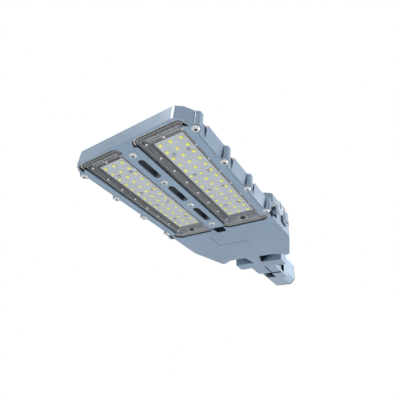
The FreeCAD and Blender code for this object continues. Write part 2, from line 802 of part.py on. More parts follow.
def cut_rear_block(body):
    """Hollows round the neck, socket for the spigot's tooth and hole for the tilt bolt."""
    side = [(s.crossbar_end, s.neck_half), (s.tub_rear, s.neck_root_half),
            (s.tub_rear, s.tub_rear_half), (s.tub_bend, s.crossbar_half),
            (s.crossbar_end, s.crossbar_half)]
    hollow = outline(body, "hollow_plan", "XY_Plane", underside, side)
    hollow_cut = pocket(body, "block_hollow", hollow, s.tub_height - s.block_roof, forwards=True)
    mirror(body, "right_block_hollow", [hollow_cut], "XZ_Plane")
    reach = s.tooth_radius + s.socket_gap
    socket = circles(body, "socket_plan", "XZ_Plane", -s.knuckle_plane,
                     [(s.pivot_reach, ORIGIN, reach * 2)])
    pocket(body, "tooth_socket", socket, knuckle_half + s.socket_gap - s.knuckle_plane)
    bore = circles(body, "cheek_bore_plan", "XZ_Plane", -cheek_face,
                   [(s.pivot_reach, ORIGIN, s.pivot_bolt + s.running_gap * 2)])
    pocket(body, "cheek_bore", bore, s.cheek_width, forwards=True)


def cut_hinge_notches(body):
    """Side notches for the lid's ears and the holes of its hinge bolts."""
    outer = s.row_offset + s.column_half * 2
    left = rectangle(body, "notch_plan", "XY_Plane", tub_top,
                     notch_rear, s.hinge_place + s.ear_space, notch_inner, outer)
    depth = tub_top - hinge_level + s.ear_radius + s.ear_gap
    notch = pocket(body, "hinge_notch", left, depth)
    mirror(body, "right_hinge_notch", [notch], "XZ_Plane")
    disc = circles(body, "boss_plan", "XZ_Plane", -notch_inner,
                   [(s.hinge_place, hinge_level, s.boss_radius * 2)])
    boss = pad(body, "hinge_boss", disc, s.boss_width)
    hole = circles(body, "hinge_hole_plan", "XZ_Plane", -s.ear_start,
                   [(s.hinge_place, hinge_level, s.hinge_shaft + s.thread_slack * 2)])
    hole_cut = pocket(body, "hinge_hole", hole, s.hinge_reach + s.seat_gap, forwards=True)
    mirror(body, "right_hinge_hole", [boss, hole_cut], "XZ_Plane")


def add_clip_nubs(body):
    """Small nubs on the compartment's sides that the lid's spring clips rest on."""
    middle = s.clip_start + s.clip_width / 2
    bottom = tub_top - s.clip_nub_drop
    plan = rectangle(body, "nub_plan", "XZ_Plane", -(s.lid_half - s.seat_gap),
                     middle - s.clip_width / 4, middle + s.clip_width / 4,
                     bottom, bottom + s.clip_nub_height)
    nub = pad(body, "clip_nub", plan, s.lid_half - s.seat_gap - s.tub_half)
    mirror(body, "right_clip_nub", [nub], "XZ_Plane")


def build_side_strips():
    """Left and right strips that clamp the modules' outer edges."""
    for name, side in (("strip_left", 1), ("strip_right", -1)):
        body = new_body(name)
        corners = [(x, y * side) for x, y in strip_corners(ORIGIN)]
        plate = outline(body, "plate_plan", "XY_Plane", underside, corners)
        pad(body, "plate", plate, s.strip_thickness)
        lobe = circles(body, "lobe_plan", "XY_Plane", underside,
                       [(s.screw_first, s.row_offset * side, s.strip_lobe * 2)])
        first = pad(body, "lobe", lobe, s.strip_thickness)
        plan = outline(body, "flare_plan", "XY_Plane", underside, flare_corners(side, ORIGIN))
        flare = pad(body, "flare", plan, s.strip_thickness)
        repeat(body, "lobes", [first, flare], "X_Axis", s.screw_count, s.screw_pitch)
        across = s.cover_bolt + s.seat_gap * 2
        hole = circles(body, "hole_plan", "XY_Plane", underside,
                       [(s.screw_first, s.row_offset * side, across)])
        cut = pocket(body, "hole", hole, s.strip_thickness, forwards=True)
        repeat(body, "holes", [cut], "X_Axis", s.screw_count, s.screw_pitch)


def build_centre_strip():
    """Strip between the modules, with three oblong air slots."""
    body = new_body("strip_centre")
    plate = outline(body, "plate_plan", "XY_Plane", underside, centre_strip_corners(ORIGIN))
    pad(body, "plate", plate, s.strip_thickness)
    gap = slot(body, "slot_plan", "XY_Plane", underside,
               s.screw_first + s.screw_pitch / 2, ORIGIN, s.slot_length, s.slot_width)
    gap_cut = pocket(body, "slot", gap, s.strip_thickness, forwards=True)
    repeat(body, "slots", [gap_cut], "X_Axis", s.screw_count - 1, s.screw_pitch)
    hole = circles(body, "hole_plan", "XY_Plane", underside,
                   [(s.screw_first, ORIGIN, s.cover_bolt + s.seat_gap * 2)])
    cut = pocket(body, "hole", hole, s.strip_thickness, forwards=True)
    repeat(body, "holes", [cut], "X_Axis", s.screw_count, s.screw_pitch)


def build_strip_screws():
    """Three rows of button-head screws that hold the strips, one body per row."""
    for name, row in (("strip_screws_right", -s.row_offset),
                      ("strip_screws_centre", ORIGIN),
                      ("strip_screws_left", s.row_offset)):
        body = new_body(name, x=s.screw_first, y=row, z=underside)
        shank = circles(body, "shank_plan", "XY_Plane", ORIGIN, [(ORIGIN, ORIGIN, s.cover_bolt)])
        stem = pad(body, "shank", shank, s.strip_thickness + s.cover_bolt_reach)
        button = circles(body, "head_plan", "XY_Plane", ORIGIN,
                         [(ORIGIN, ORIGIN, s.cover_bolt_head)])
        head = pad(body, "head", button, s.cover_bolt_head_height, backwards=True)
        key = outline(body, "key_plan", "XY_Plane", -s.cover_bolt_head_height,
                      hexagon(s.cover_bolt_key))
        socket = pocket(body, "key", key, s.cover_bolt_head_height / 2, forwards=True)
        repeat(body, "screws", [stem, head, socket], "X_Axis", s.screw_count, s.screw_pitch)


def module_sides():
    """Name and sideways place of each LED module."""
    return (("left", s.module_offset), ("right", -s.module_offset))


def build_module_trays():
    """Finned aluminium tray of each module, open downwards."""
    for side, offset in module_sides():
        body = new_body("module_tray_" + side, x=s.module_centre, y=offset, z=strip_seat)
        half, front, rear = s.module_half, s.module_front, -s.module_rear
        lip = s.cover_flange
        flange = rectangle(body, "flange_plan", "XY_Plane", lip, rear, front, -half, half)
        pad(body, "flange", flange, s.module_flange - lip)
        places = [(x, y) for x in (rear, front) for y in (-half, half)]
        fillet(body, "flange_corners", upright_edges(body, places), s.module_corner)
        length, width = s.pan_half_length + s.pan_wall, s.pan_half_width + s.pan_wall
        pan = rectangle(body, "pan_plan", "XY_Plane", lip, -length, length, -width, width)
        pad(body, "pan", pan, s.pan_floor_depth + s.pan_roof - lip)
        length, width = s.pan_half_length, s.pan_half_width
        cavity = rectangle(body, "cavity_plan", "XY_Plane", ORIGIN, -length, length, -width, width)
        pocket(body, "cavity", cavity, s.pan_step_depth, forwards=True)
        places = [(x, y) for x in (-length, length) for y in (-width, width)]
        fillet(body, "cavity_corners", upright_edges(body, places), s.pan_corner)
        length, width = s.pan_well_half_length, s.pan_well_half_width
        well = rectangle(body, "well_plan", "XY_Plane", ORIGIN, -length, length, -width, width)
        pocket(body, "well", well, s.pan_floor_depth, forwards=True)
        top = s.pan_floor_depth + s.pan_roof
        outer = s.fin_pitch * (s.fin_count - 1) / 2
        fin_plan = rectangle(body, "fin_plan", "XY_Plane", top, -s.fin_start, s.fin_end,
                             -outer - s.fin_thickness / 2, -outer + s.fin_thickness / 2)
        fin = pad(body, "fin", fin_plan, s.fin_height)
        repeat(body, "fins", [fin], "Y_Axis", s.fin_count, s.fin_pitch)


def build_boards():
    """White circuit board at the bottom of each tray's well."""
    level = strip_seat + s.pan_floor_depth - s.board_thickness
    for side, offset in module_sides():
        body = new_body("led_board_" + side, x=s.module_centre, y=offset, z=level)
        half_length, half_width = s.board_length / 2, s.board_width / 2
        plan = rectangle(body, "plan", "XY_Plane", ORIGIN,
                         -half_length, half_length, -half_width, half_width)
        pad(body, "board", plan, s.board_thickness)


def build_leds():
    """Forty-two square LED packages on the underside of each board."""
    level = strip_seat + s.pan_floor_depth - s.board_thickness
    first_x = -s.led_pitch_along * (s.led_count_along - 1) / 2
    first_y = -s.led_pitch_across * (s.led_count_across - 1) / 2
    half = s.led_size / 2
    for side, offset in module_sides():
        body = new_body("leds_" + side, x=s.module_centre, y=offset, z=level)
        features = []
        for row in range(int(float(s.led_count_across))):
            y = first_y + s.led_pitch_across * row
            plan = rectangle(body, "plan_%d" % row, "XY_Plane", -s.led_height,
                             first_x - half, first_x + half, y - half, y + half)
            features.append(pad(body, "led_%d" % row, plan, s.led_height))
        repeat(body, "rows", features, "X_Axis", s.led_count_along, s.led_pitch_along)


def build_lenses():
    """Moulded clear cover: a dish inside each tray, with a flange that the strips clamp."""
    for side, offset in module_sides():
        body = new_body("lens_cover_" + side, x=s.module_centre, y=offset, z=strip_seat)
        half, front, rear = s.module_half, s.module_front, -s.module_rear
        plate = rectangle(body, "flange_plan", "XY_Plane", ORIGIN, rear, front, -half, half)
        pad(body, "flange", plate, s.cover_flange)
        places = [(x, y) for x in (rear, front) for y in (-half, half)]
        fillet(body, "flange_corners", upright_edges(body, places), s.module_corner)
        length, width = s.pan_half_length - s.lens_gap, s.pan_half_width - s.lens_gap
        dish = rectangle(body, "dish_plan", "XY_Plane", ORIGIN, -length, length, -width, width)
        pad(body, "dish", dish, s.pan_step_depth)
        inner_length, inner_width = length - s.cover_wall, width - s.cover_wall
        well = rectangle(body, "well_plan", "XY_Plane", ORIGIN,
                         -inner_length, inner_length, -inner_width, inner_width)
        pocket(body, "well", well, s.pan_step_depth - s.lens_thickness, forwards=True)
        places = [(x, y) for x in (-inner_length, inner_length)
                  for y in (-inner_width, inner_width)]
        fillet(body, "well_corners", upright_edges(body, places), s.pan_corner - s.cover_wall)
        places = [(x, y) for x in (-length, length) for y in (-width, width)]
        fillet(body, "dish_corners", upright_edges(body, places), s.pan_corner)


def build_lead_glands():
    """Black gland through which each board's lead leaves the clear cover."""
    level = strip_seat + s.pan_step_depth - s.lens_thickness
    for side, offset in module_sides():
        body = new_body("lead_gland_" + side, x=s.module_centre - s.lead_gland_place,
                        y=offset, z=level)
        plan = circles(body, "plan", "XY_Plane", ORIGIN, [(ORIGIN, ORIGIN, s.lead_gland)])
        pad(body, "gland", plan, s.lead_gland_height, backwards=True)


def lid_half_outline(inset, rear, rear_half, front, shoulder):
    """Left half of the lid's outline, from its rear middle forwards."""
    return [(rear, rear_half),
            (s.tub_side_start + inset, s.tub_side_start_half - inset),
            (s.tub_side_end, s.lid_half - inset),
            (shoulder, s.lid_half - inset),
            (front, s.lid_front_half - inset)]


def build_lid():
    """Top cover of the compartment, hollow below, with two hinge ears."""
    body = new_body("driver_lid")
    half = lid_half_outline(ORIGIN, s.lid_rear, s.lid_rear_half, s.lid_front, s.lid_shoulder)
    shell = outline(body, "shell_plan", "XY_Plane", lid_underside, both_sides(half))
    pad(body, "shell", shell, s.lid_top + s.lid_bottom)
    fillet(body, "top_round", level_edges(body, s.lid_top, float(s.lid_wall)), s.lid_round)
    wall = s.lid_wall
    low = lid_half_outline(wall, s.lid_rear_wall, s.lid_rear_half - wall * 2, s.lid_lip_end,
                           s.lid_lip_end - wall)
    mouth = outline(body, "mouth_plan", "XY_Plane", lid_underside, both_sides(low))
    pocket(body, "mouth", mouth, s.lid_lip_height, forwards=True)
    high = lid_half_outline(wall, s.lid_rear_wall, s.lid_rear_half - wall * 2,
                            s.lid_front - wall, s.lid_shoulder - wall / 2)
    hollow_level = lid_underside + s.lid_lip_height
    hollow = outline(body, "hollow_plan", "XY_Plane", hollow_level, both_sides(high))
    pocket(body, "hollow", hollow, lid_roof - hollow_level, forwards=True)
    swing = s.tooth_radius + s.lid_swing_gap
    sweep = circles(body, "sweep_plan", "XZ_Plane", -s.lid_half,
                    [(s.pivot_reach, ORIGIN, swing * 2)])
    pocket(body, "knuckle_clearance", sweep, s.lid_half * 2, forwards=True)
    for name, start in (("left", -s.ear_end), ("right", s.ear_start)):
        web = rectangle(body, name + "_web_plan", "XZ_Plane", start,
                        s.hinge_place - s.ear_radius, s.hinge_place + s.ear_radius / 2,
                        hinge_level, lid_underside + s.lid_wall)
        pad(body, name + "_web", web, s.ear_end - s.ear_start)
        barrel = circles(body, name + "_barrel_plan", "XZ_Plane", start,
                         [(s.hinge_place, hinge_level, s.ear_radius * 2)])
        pad(body, name + "_barrel", barrel, s.ear_end - s.ear_start)
    bore = circles(body, "ear_bore_plan", "XZ_Plane", -s.ear_end,
                   [(s.hinge_place, hinge_level, s.hinge_shaft + s.running_gap * 2)])
    pocket(body, "ear_bores", bore, s.ear_end * 2, forwards=True)


def build_hinge_bolts():
    """Two slotted shoulder bolts that the lid swings on."""
    body = new_body("hinge_bolts", x=s.hinge_place, z=hinge_level)
    head_face = s.ear_end + s.seat_gap
    disc = circles(body, "head_plan", "XZ_Plane", -head_face, [(ORIGIN, ORIGIN, s.hinge_head)])
    pad(body, "head", disc, s.hinge_head_height, backwards=True)
    shaft = circles(body, "shaft_plan", "XZ_Plane", -head_face, [(ORIGIN, ORIGIN, s.hinge_shaft)])
    pad(body, "shaft", shaft, head_face - s.ear_start + s.hinge_reach)
    outer_face = head_face + s.hinge_head_height
    bottom = s.hinge_slot_width - s.hinge_slot_length / 2
    half = s.hinge_slot_width / 2
    groove = rectangle(body, "slot_plan", "XZ_Plane", -outer_face,
                       -half, half, bottom, bottom + s.hinge_slot_length)
    pocket(body, "slot", groove, s.hinge_slot_depth, forwards=True)
    mirror_all(body, "right_bolt", "XZ_Plane")


def build_lid_gasket():
    """Rubber seal on the compartment's rim."""
    body = new_body("lid_gasket", z=tub_top)
    inner = s.gasket_inset + s.gasket_width
    outer_plan = outline(body, "outer_plan", "XY_Plane", ORIGIN,
                         both_sides(compartment_half_outline(s.gasket_inset, s.bay_rear - s.gasket_inset)))
    pad(body, "seal", outer_plan, s.gasket_thickness)
    inner_plan = outline(body, "inner_plan", "XY_Plane", ORIGIN,
                         both_sides(compartment_half_outline(inner, s.lid_lip_end)))
    pocket(body, "opening", inner_plan, s.gasket_thickness, forwards=True)


def build_lid_clips():
    """Spring straps on the lid's sides that reach down over the compartment."""
    body = new_body("lid_clips", x=s.clip_start)
    plan = rectangle(body, "strap_plan", "XZ_Plane", -s.lid_half,
                     ORIGIN, s.clip_width, -s.clip_bottom, s.clip_top)
    pad(body, "strap", plan, s.clip_thickness, backwards=True)
    mirror_all(body, "right_strap", "XZ_Plane")


def build_led_driver():
    """Sealed driver on the compartment's floor, with a foot at each end."""
    body = new_body("led_driver", x=s.driver_start, z=tub_floor_level)
    half = s.driver_width / 2
    plan = rectangle(body, "case_plan", "XY_Plane", ORIGIN, ORIGIN, s.driver_length, -half, half)
    pad(body, "case", plan, s.driver_height)
    edges = level_edges(body, s.driver_height, float(s.driver_edge))
    chamfer(body, "top_bevel", edges, s.driver_edge)
    foot_half = s.driver_foot_width / 2
    end = half + s.driver_foot
    feet = rectangle(body, "feet_plan", "XY_Plane", ORIGIN, s.driver_length / 2 - foot_half,
                     s.driver_length / 2 + foot_half, -end, end)
    pad(body, "feet", feet, s.driver_foot_height)


def build_surge_protector():
    """Potted surge protector beside the driver."""
    body = new_body("surge_protector", x=s.surge_place, y=-s.surge_offset, z=tub_floor_level)
    plan = rectangle(body, "plan", "XY_Plane", ORIGIN, ORIGIN, s.surge_length, -s.surge_width, ORIGIN)
    pad(body, "case", plan, s.surge_height)


def build_terminal_block():
    """Supply terminals beside the driver."""
    body = new_body("terminal_block", x=s.surge_place, y=s.surge_offset, z=tub_floor_level)
    length = s.terminal_way * s.terminal_ways
    plan = rectangle(body, "plan", "XY_Plane", ORIGIN, ORIGIN, length, ORIGIN, s.terminal_width)
    pad(body, "block", plan, s.terminal_height)
    edge = (s.terminal_way - s.terminal_hole) / 2
    hole = rectangle(body, "hole_plan", "XY_Plane", s.terminal_height, edge, edge + s.terminal_hole,
                     s.terminal_width / 2, s.terminal_width - edge)
    well = pocket(body, "screw_well", hole, s.terminal_well_depth)
    repeat(body, "screw_wells", [well], "X_Axis", s.terminal_ways, s.terminal_way)


def build_entry_gland():
    """Gland on the compartment's rear wall, where the supply cable comes in."""
    body = new_body("entry_gland", x=s.tub_rear + s.tub_wall, z=-s.entry_gland_drop)
    nut = outline(body, "nut_plan", "YZ_Plane", ORIGIN, hexagon(s.entry_gland))
    pad(body, "nut", nut, s.entry_gland_length)


def check_model():
    """Stop with a clear message if any object failed to build."""
    doc.recompute()
    for item in doc.Objects:
        if "Invalid" in item.State or "Error" in item.State:
            raise ValueError("%s of %s failed" % (item.Name, item.Label))
    for part in parts:
        if part.Shape.isNull() or not part.Shape.isValid():
            raise ValueError("%s has no valid shape" % part.Label)


def export_parts():
    """Write each sub-part to its own STEP file."""
    for part in parts:
        part.Shape.exportStep("parts/%s.step" % part.Label)


build_spigot()
build_clamp_screws()
build_pivot_bolt()
build_pivot_washer()
build_housing()
build_side_strips()
build_centre_strip()
build_strip_screws()
build_module_trays()
build_boards()
build_leds()
build_lenses()
build_lead_glands()
build_lid()
build_hinge_bolts()
build_lid_gasket()
build_lid_clips()
build_led_driver()
build_surge_protector()
build_terminal_block()
build_entry_gland()
check_model()
export_parts()
for part in parts:
    box = part.Shape.BoundBox
    print("%-22s solids %3d  x %.1f..%.1f  y %.1f..%.1f  z %.1f..%.1f" % (
        part.Label, len(part.Shape.Solids), box.XMin, box.XMax, box.YMin, box.YMax, box.ZMin, box.ZMax))
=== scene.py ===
import math

import bmesh
import bpy
from mathutils import Matrix, Vector


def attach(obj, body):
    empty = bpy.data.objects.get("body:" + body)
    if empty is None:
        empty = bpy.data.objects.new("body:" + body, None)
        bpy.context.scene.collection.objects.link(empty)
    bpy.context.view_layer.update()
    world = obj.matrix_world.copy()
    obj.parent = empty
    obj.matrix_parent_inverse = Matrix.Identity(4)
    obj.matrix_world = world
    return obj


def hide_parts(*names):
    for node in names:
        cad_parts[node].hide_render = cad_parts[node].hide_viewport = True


# LED street light head seen from below. The CAD frame gives the castings. This
# script adds the small fasteners, the lamps, the clear covers and two corner
# webs, then paint, metal and plastic for every piece, studio light and the camera.
# +X runs to the nose, +Z is up and the light leaves downwards.

# Places and sizes are in millimetres in the CAD frame, except in the studio
MM = 0.001
SIDES = (("left", 1), ("right", -1))

# LED modules: board, lamps and their spacing
MODULE_X = 519.5
MODULE_Y = {"left": 61.0, "right": -61.0}
BOARD_FACE = -20.6
BOARD_HALF_X = 119.0
BOARD_HALF_Y = 26.5
LED_PITCH_X = 17.22
LED_PITCH_Y = 19.58
LED_COLUMNS = 14
LED_ROWS = 3
LED_SIZE = 6.2
LED_HEIGHT = 1.7
LED_CORNER = 0.5
DOME_FILL = 0.96
DOME_HEIGHT = 0.8
DOME_ROUND = 0.6

# Tray: fine steps round the board drawn as painted shade and highlight lines, the open bed behind
# it painted lighter as a painted reflection, and the rings under the cover's flange, each with its
# start from the tray's edge and its colour; the innermost pale ring is a painted highlight of the
# cover's edge
TRAY_STEP = 4.6
BED_START = 2.0
TRAY_RINGS = ((-6.4, "#C6CACF"), (-5.4, "#101113"), (-3.0, "#F4F0E8"))
RING_BLUR = 0.3

# Clear cover: flange round the module and a dish inside the tray
MODULE_FRONT = 150.5
MODULE_REAR = 145.5
MODULE_HALF_Y = 47.0
FLANGE_FACE = -30.0
FLANGE_BACK = -29.0
COVER_FACE = -25.0
COVER_BACK = -23.0
FLANGE_CORNER = 13.0
FLANGE_WIDTH = 12.0
COVER_WALL = 1.6
SLOPE_OUTSIDE = 1.0
SLOPE_INSIDE = 0.6
RIB_X = (129.6, 135.0)
RIB_Y = (2.5, 28.5)
RIB_HEIGHT = 1.2
RIB_ROOT = 0.4
RIB_ROUND = 0.5
TAB_X = (-134.0, -123.0)
TAB_HALF_Y = 9.0
TAB_HEIGHT = 2.6
TAB_ROUND = 0.9

# Corner web: a block cut along the nose corner's chamfer and round the module's seat,
# with a thin skin over the seams
WEB_LOW = (663.45, 95.0, -33.0)
WEB_HIGH = (671.0, 109.0, -27.0)
WEB_CUT_PLACE = (668.0, 109.0, -31.0)
WEB_CUT_WAY = (0.80769, 0.58961, 0.0)
WEB_SEAT_CENTRE = (657.0, 95.0, -31.0)
WEB_SEAT_RADIUS = 14.0
WEB_SKIN = 0.1
WEB_SKIN_REACH = 3.8
WEB_SKIN_TOP = -26.0
WEB_SKIN_PLACE = (669.5, 106.95, 0.0)

# Fasteners; the small screws are given by radius and height of the head, and their
# rounding and dimple as shares of these
STRIP_FACE = -33.0
STRIP_SCREW_X = (405.0, 485.0, 565.0, 645.0)
STRIP_SCREW_PITCH = 80.0
STRIP_SCREW_ROWS = {"left": 116.3, "centre": 0.0, "right": -116.3}
STRIP_SCREW_REACH = 13.5
FLANGE_RADIUS = 6.4
FLANGE_THICKNESS = 1.1
HEAD_RADIUS = 4.9
HEAD_HEIGHT = 3.6
HEAD_ROUND = 0.8
HEX_KEY = 5.0
SOCKET_REACH = 3.0
SOCKET_LEVEL = -36.0
SHANK_RADIUS = 2.9
SMALL_SCREWS = {"board": (3.2, 2.0), "cover": (2.1, 1.5), "driver": (3.5, 2.6), "rivet": (3.0, 1.4)}
SMALL_HEAD_ROUND = 0.45
DIMPLE_RIM = 0.16
DIMPLE_WALL = 0.05
DIMPLE_DEPTH = 0.45
BOARD_SCREW_STEPS = (1.43, 4.9)
BOARD_SCREW_Y = 13.7
BOARD_SCREW_LEVEL = -22.1
COVER_SCREW_PITCH = 36.2
COVER_SCREW_COUNT = 8
COVER_SCREW_Y = 33.7
COVER_SCREW_SHIFT = 1.1
COVER_SCREW_FRONT = 128.0
DRIVER_SCREW_X = (284.5, 299.5)
DRIVER_SCREW_Y = (-79.5, 79.5)
DRIVER_FOOT_TOP = -26.0
CLIP_RIVET_X = (315.0, 325.0)
CLIP_RIVET_LEVEL = 12.0
CLIP_FACE = 121.0

# Painted shade in deep places: how far off walls still count, and the share of open air round a
# place at which the painted shade starts and is darkest
SHADE_REACH = 32.0
SHADE_START = 0.68
SHADE_FULL = 0.50

# Studio, in metres
FLOOR_LEVEL = -1.1
MIDDLE = (0.33, 0.0, 0.0)
SPIGOT = (0.05, 0.0, 0.0)
NOSE = (0.67, 0.0, -0.02)

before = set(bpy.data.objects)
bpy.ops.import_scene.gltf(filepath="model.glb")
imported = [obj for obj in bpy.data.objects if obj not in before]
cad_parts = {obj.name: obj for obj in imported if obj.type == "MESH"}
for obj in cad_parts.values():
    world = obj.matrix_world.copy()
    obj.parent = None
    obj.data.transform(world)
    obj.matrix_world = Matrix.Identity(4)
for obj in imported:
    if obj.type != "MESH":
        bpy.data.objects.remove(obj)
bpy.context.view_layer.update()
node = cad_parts
scene = bpy.context.scene


# Shading helpers
def linear(code):
    """Turn an sRGB hex code into a linear colour with full opacity."""
    values = []
    for place in (1, 3, 5):
        channel = int(code[place:place + 2], 16) / 255
        if channel <= 0.04045:
            values.append(channel / 12.92)
        else:
            values.append(((channel + 0.055) / 1.055) ** 2.4)
    return tuple(values) + (1.0,)


def add(tree, kind, inputs=None, stops=None, **settings):
    """Add a shader node; an input is a constant or the output socket that feeds it."""
    made = tree.nodes.new(kind)
    for name, value in settings.items():
        setattr(made, name, value)
    for place, value in (inputs or {}).items():
        if isinstance(value, bpy.types.NodeSocket):
            tree.links.new(value, made.inputs[place])
        else:
            made.inputs[place].default_value = value
    if stops:
        ramp = made.color_ramp
        while len(ramp.elements) < len(stops):
            ramp.elements.new(1.0)
        for element, (position, colour) in zip(ramp.elements, stops):
            element.position = position
            element.color = colour
    return made


def new_material(name):
    """Empty node material with its tree, its output and the object's own coordinates."""
    material = bpy.data.materials.new(name)
    material.use_nodes = True
    tree = material.node_tree
    tree.nodes.clear()
    output = add(tree, "ShaderNodeOutputMaterial")
    place = add(tree, "ShaderNodeTexCoord").outputs["Object"]
    return material, tree, output, place


def grain(tree, place, size_mm, detail=2.0, roughness=0.5):
    """Noise whose grains are about so many millimetres across."""
    made = add(tree, "ShaderNodeTexNoise", {
        "Vector": place, "Scale": 1 / (size_mm * MM), "Detail": detail, "Roughness": roughness})
    return made.outputs["Fac"]


def spread(tree, value, low, high):
    """Map a noise value from its usual middle range to the given limits."""
    made = add(tree, "ShaderNodeMapRange", {
        "Value": value, "From Min": 0.3, "From Max": 0.7, "To Min": low, "To Max": high})
    return made.outputs["Result"]


def blend_colours(tree, factor, first, second):
    """Mix two colours or colour sockets."""
    made = add(tree, "ShaderNodeMix", {0: factor, 6: first, 7: second}, data_type="RGBA")
    return made.outputs[2]


def edge_mask(tree, radius_mm):
    """White along sharp edges, where a rounded normal differs from the flat one."""
    soft = add(tree, "ShaderNodeBevel", {"Radius": radius_mm * MM}, samples=6).outputs["Normal"]
    flat = add(tree, "ShaderNodeNewGeometry").outputs["Normal"]
    same = add(tree, "ShaderNodeVectorMath", {0: soft, 1: flat}, operation="DOT_PRODUCT")
    mask = add(tree, "ShaderNodeMapRange", {
        "Value": same.outputs["Value"], "From Min": 1.0, "From Max": 0.8,
        "To Min": 0.0, "To Max": 1.0})
    return mask.outputs["Result"], soft


def coated(name, body, edge, shade, painted_shade_colour, roughness, edge_mm=0.9, rim_mm=0.0):
    """Powder coat: fine orange peel, slightly uneven tone, painted edge lines in their own colour,
    and painted shade in slots and pockets.
    """
    material, tree, output, place = new_material(name)
    tone = blend_colours(tree, spread(tree, grain(tree, place, 60, 3), 0, 1),
                         linear(body), linear(shade))
    # Edges take the edge colour: pale, it is a painted highlight; dark, a painted shade line
    mask, soft = edge_mask(tree, edge_mm)
    painted_edges = blend_colours(tree, mask, tone, linear(edge))
    # Painted shade: the deep slots and pockets are darkened towards a dark colour, standing for
    # the little light that reaches them
    open_air = add(tree, "ShaderNodeAmbientOcclusion", {"Distance": SHADE_REACH * MM}, samples=8)
    depth = add(tree, "ShaderNodeMapRange", {
        "Value": open_air.outputs["AO"], "From Min": SHADE_START, "From Max": SHADE_FULL,
        "To Min": 0.0, "To Max": 1.0})
    colour = blend_colours(tree, depth.outputs["Result"], painted_edges, linear(painted_shade_colour))
    if rim_mm:
        # The last rim_mm millimetres at the mouth are darkened towards the same dark colour
        along = add(tree, "ShaderNodeSeparateXYZ", {0: place}).outputs["X"]
        rim = add(tree, "ShaderNodeMapRange", {
            "Value": along, "From Min": (rim_mm + 0.4) * MM, "From Max": rim_mm * MM,
            "To Min": 0.0, "To Max": 0.85})
        colour = blend_colours(tree, rim.outputs["Result"], colour, linear(painted_shade_colour))
    # Real peel is about half a millimetre across; three times coarser shows at this range
    peel = add(tree, "ShaderNodeBump", {
        "Strength": 0.12, "Distance": 0.1 * MM, "Height": grain(tree, place, 1.6), "Normal": soft})
    gloss = spread(tree, grain(tree, place, 25), roughness - 0.05, roughness + 0.06)
    surface = add(tree, "ShaderNodeBsdfPrincipled", {
        "Base Color": colour, "Roughness": gloss, "Normal": peel.outputs["Normal"]})
    tree.links.new(surface.outputs["BSDF"], output.inputs["Surface"])
    return material


def bare_metal(name, light, dark, roughness, grain_mm, stretch=(1, 1, 1), metallic=1.0):
    """Uncoated metal: grain drawn out along one direction breaks up its reflections."""
    material, tree, output, place = new_material(name)
    drawn = add(tree, "ShaderNodeMapping", {"Vector": place, "Scale": stretch})
    lines = grain(tree, drawn.outputs["Vector"], grain_mm, 4)
    colour = blend_colours(tree, spread(tree, lines, 0, 1), linear(light), linear(dark))
    mask, soft = edge_mask(tree, 0.4)
    bump = add(tree, "ShaderNodeBump", {
        "Strength": 0.15, "Distance": 0.05 * MM, "Height": lines, "Normal": soft})
    # Edges take the light colour: a painted highlight along them
    surface = add(tree, "ShaderNodeBsdfPrincipled", {
        "Base Color": blend_colours(tree, mask, colour, linear(light)), "Metallic": metallic,
        "Roughness": spread(tree, lines, roughness, roughness + 0.12),
        "Normal": bump.outputs["Normal"]})
    tree.links.new(surface.outputs["BSDF"], output.inputs["Surface"])
    return material


def moulded(name, body, shade, roughness, grain_mm):
    """Moulded plastic or rubber: fine texture and a little dust in the tone."""
    material, tree, output, place = new_material(name)
    texture = grain(tree, place, grain_mm, 3)
    colour = blend_colours(tree, spread(tree, grain(tree, place, 12), 0, 1),
                           linear(body), linear(shade))
    bump = add(tree, "ShaderNodeBump", {
        "Strength": 0.2, "Distance": 0.1 * MM, "Height": texture})
    surface = add(tree, "ShaderNodeBsdfPrincipled", {
        "Base Color": colour, "Normal": bump.outputs["Normal"],
        "Roughness": spread(tree, texture, roughness - 0.08, roughness + 0.08)})
    tree.links.new(surface.outputs["BSDF"], output.inputs["Surface"])
    return material


def box_distance(tree, place, centre_x, centre_y, half_x, half_y):
    """Distance outside a rectangle in plan, in millimetres, as one value."""
    shifted = add(tree, "ShaderNodeVectorMath", {0: place, 1: (centre_x * MM, centre_y * MM, 0)},
                  operation="SUBTRACT")
    size = add(tree, "ShaderNodeVectorMath", {0: shifted.outputs["Vector"]}, operation="ABSOLUTE")
    over = add(tree, "ShaderNodeVectorMath", {0: size.outputs["Vector"],
                                              1: (half_x * MM, half_y * MM, 0)},
               operation="SUBTRACT")
    split = add(tree, "ShaderNodeSeparateXYZ", {"Vector": over.outputs["Vector"]})
    most = add(tree, "ShaderNodeMath", {0: split.outputs["X"], 1: split.outputs["Y"]},
               operation="MAXIMUM")
    scaled = add(tree, "ShaderNodeMath", {0: most.outputs["Value"], 1: 1 / MM},
                 operation="MULTIPLY")
    return scaled.outputs["Value"]


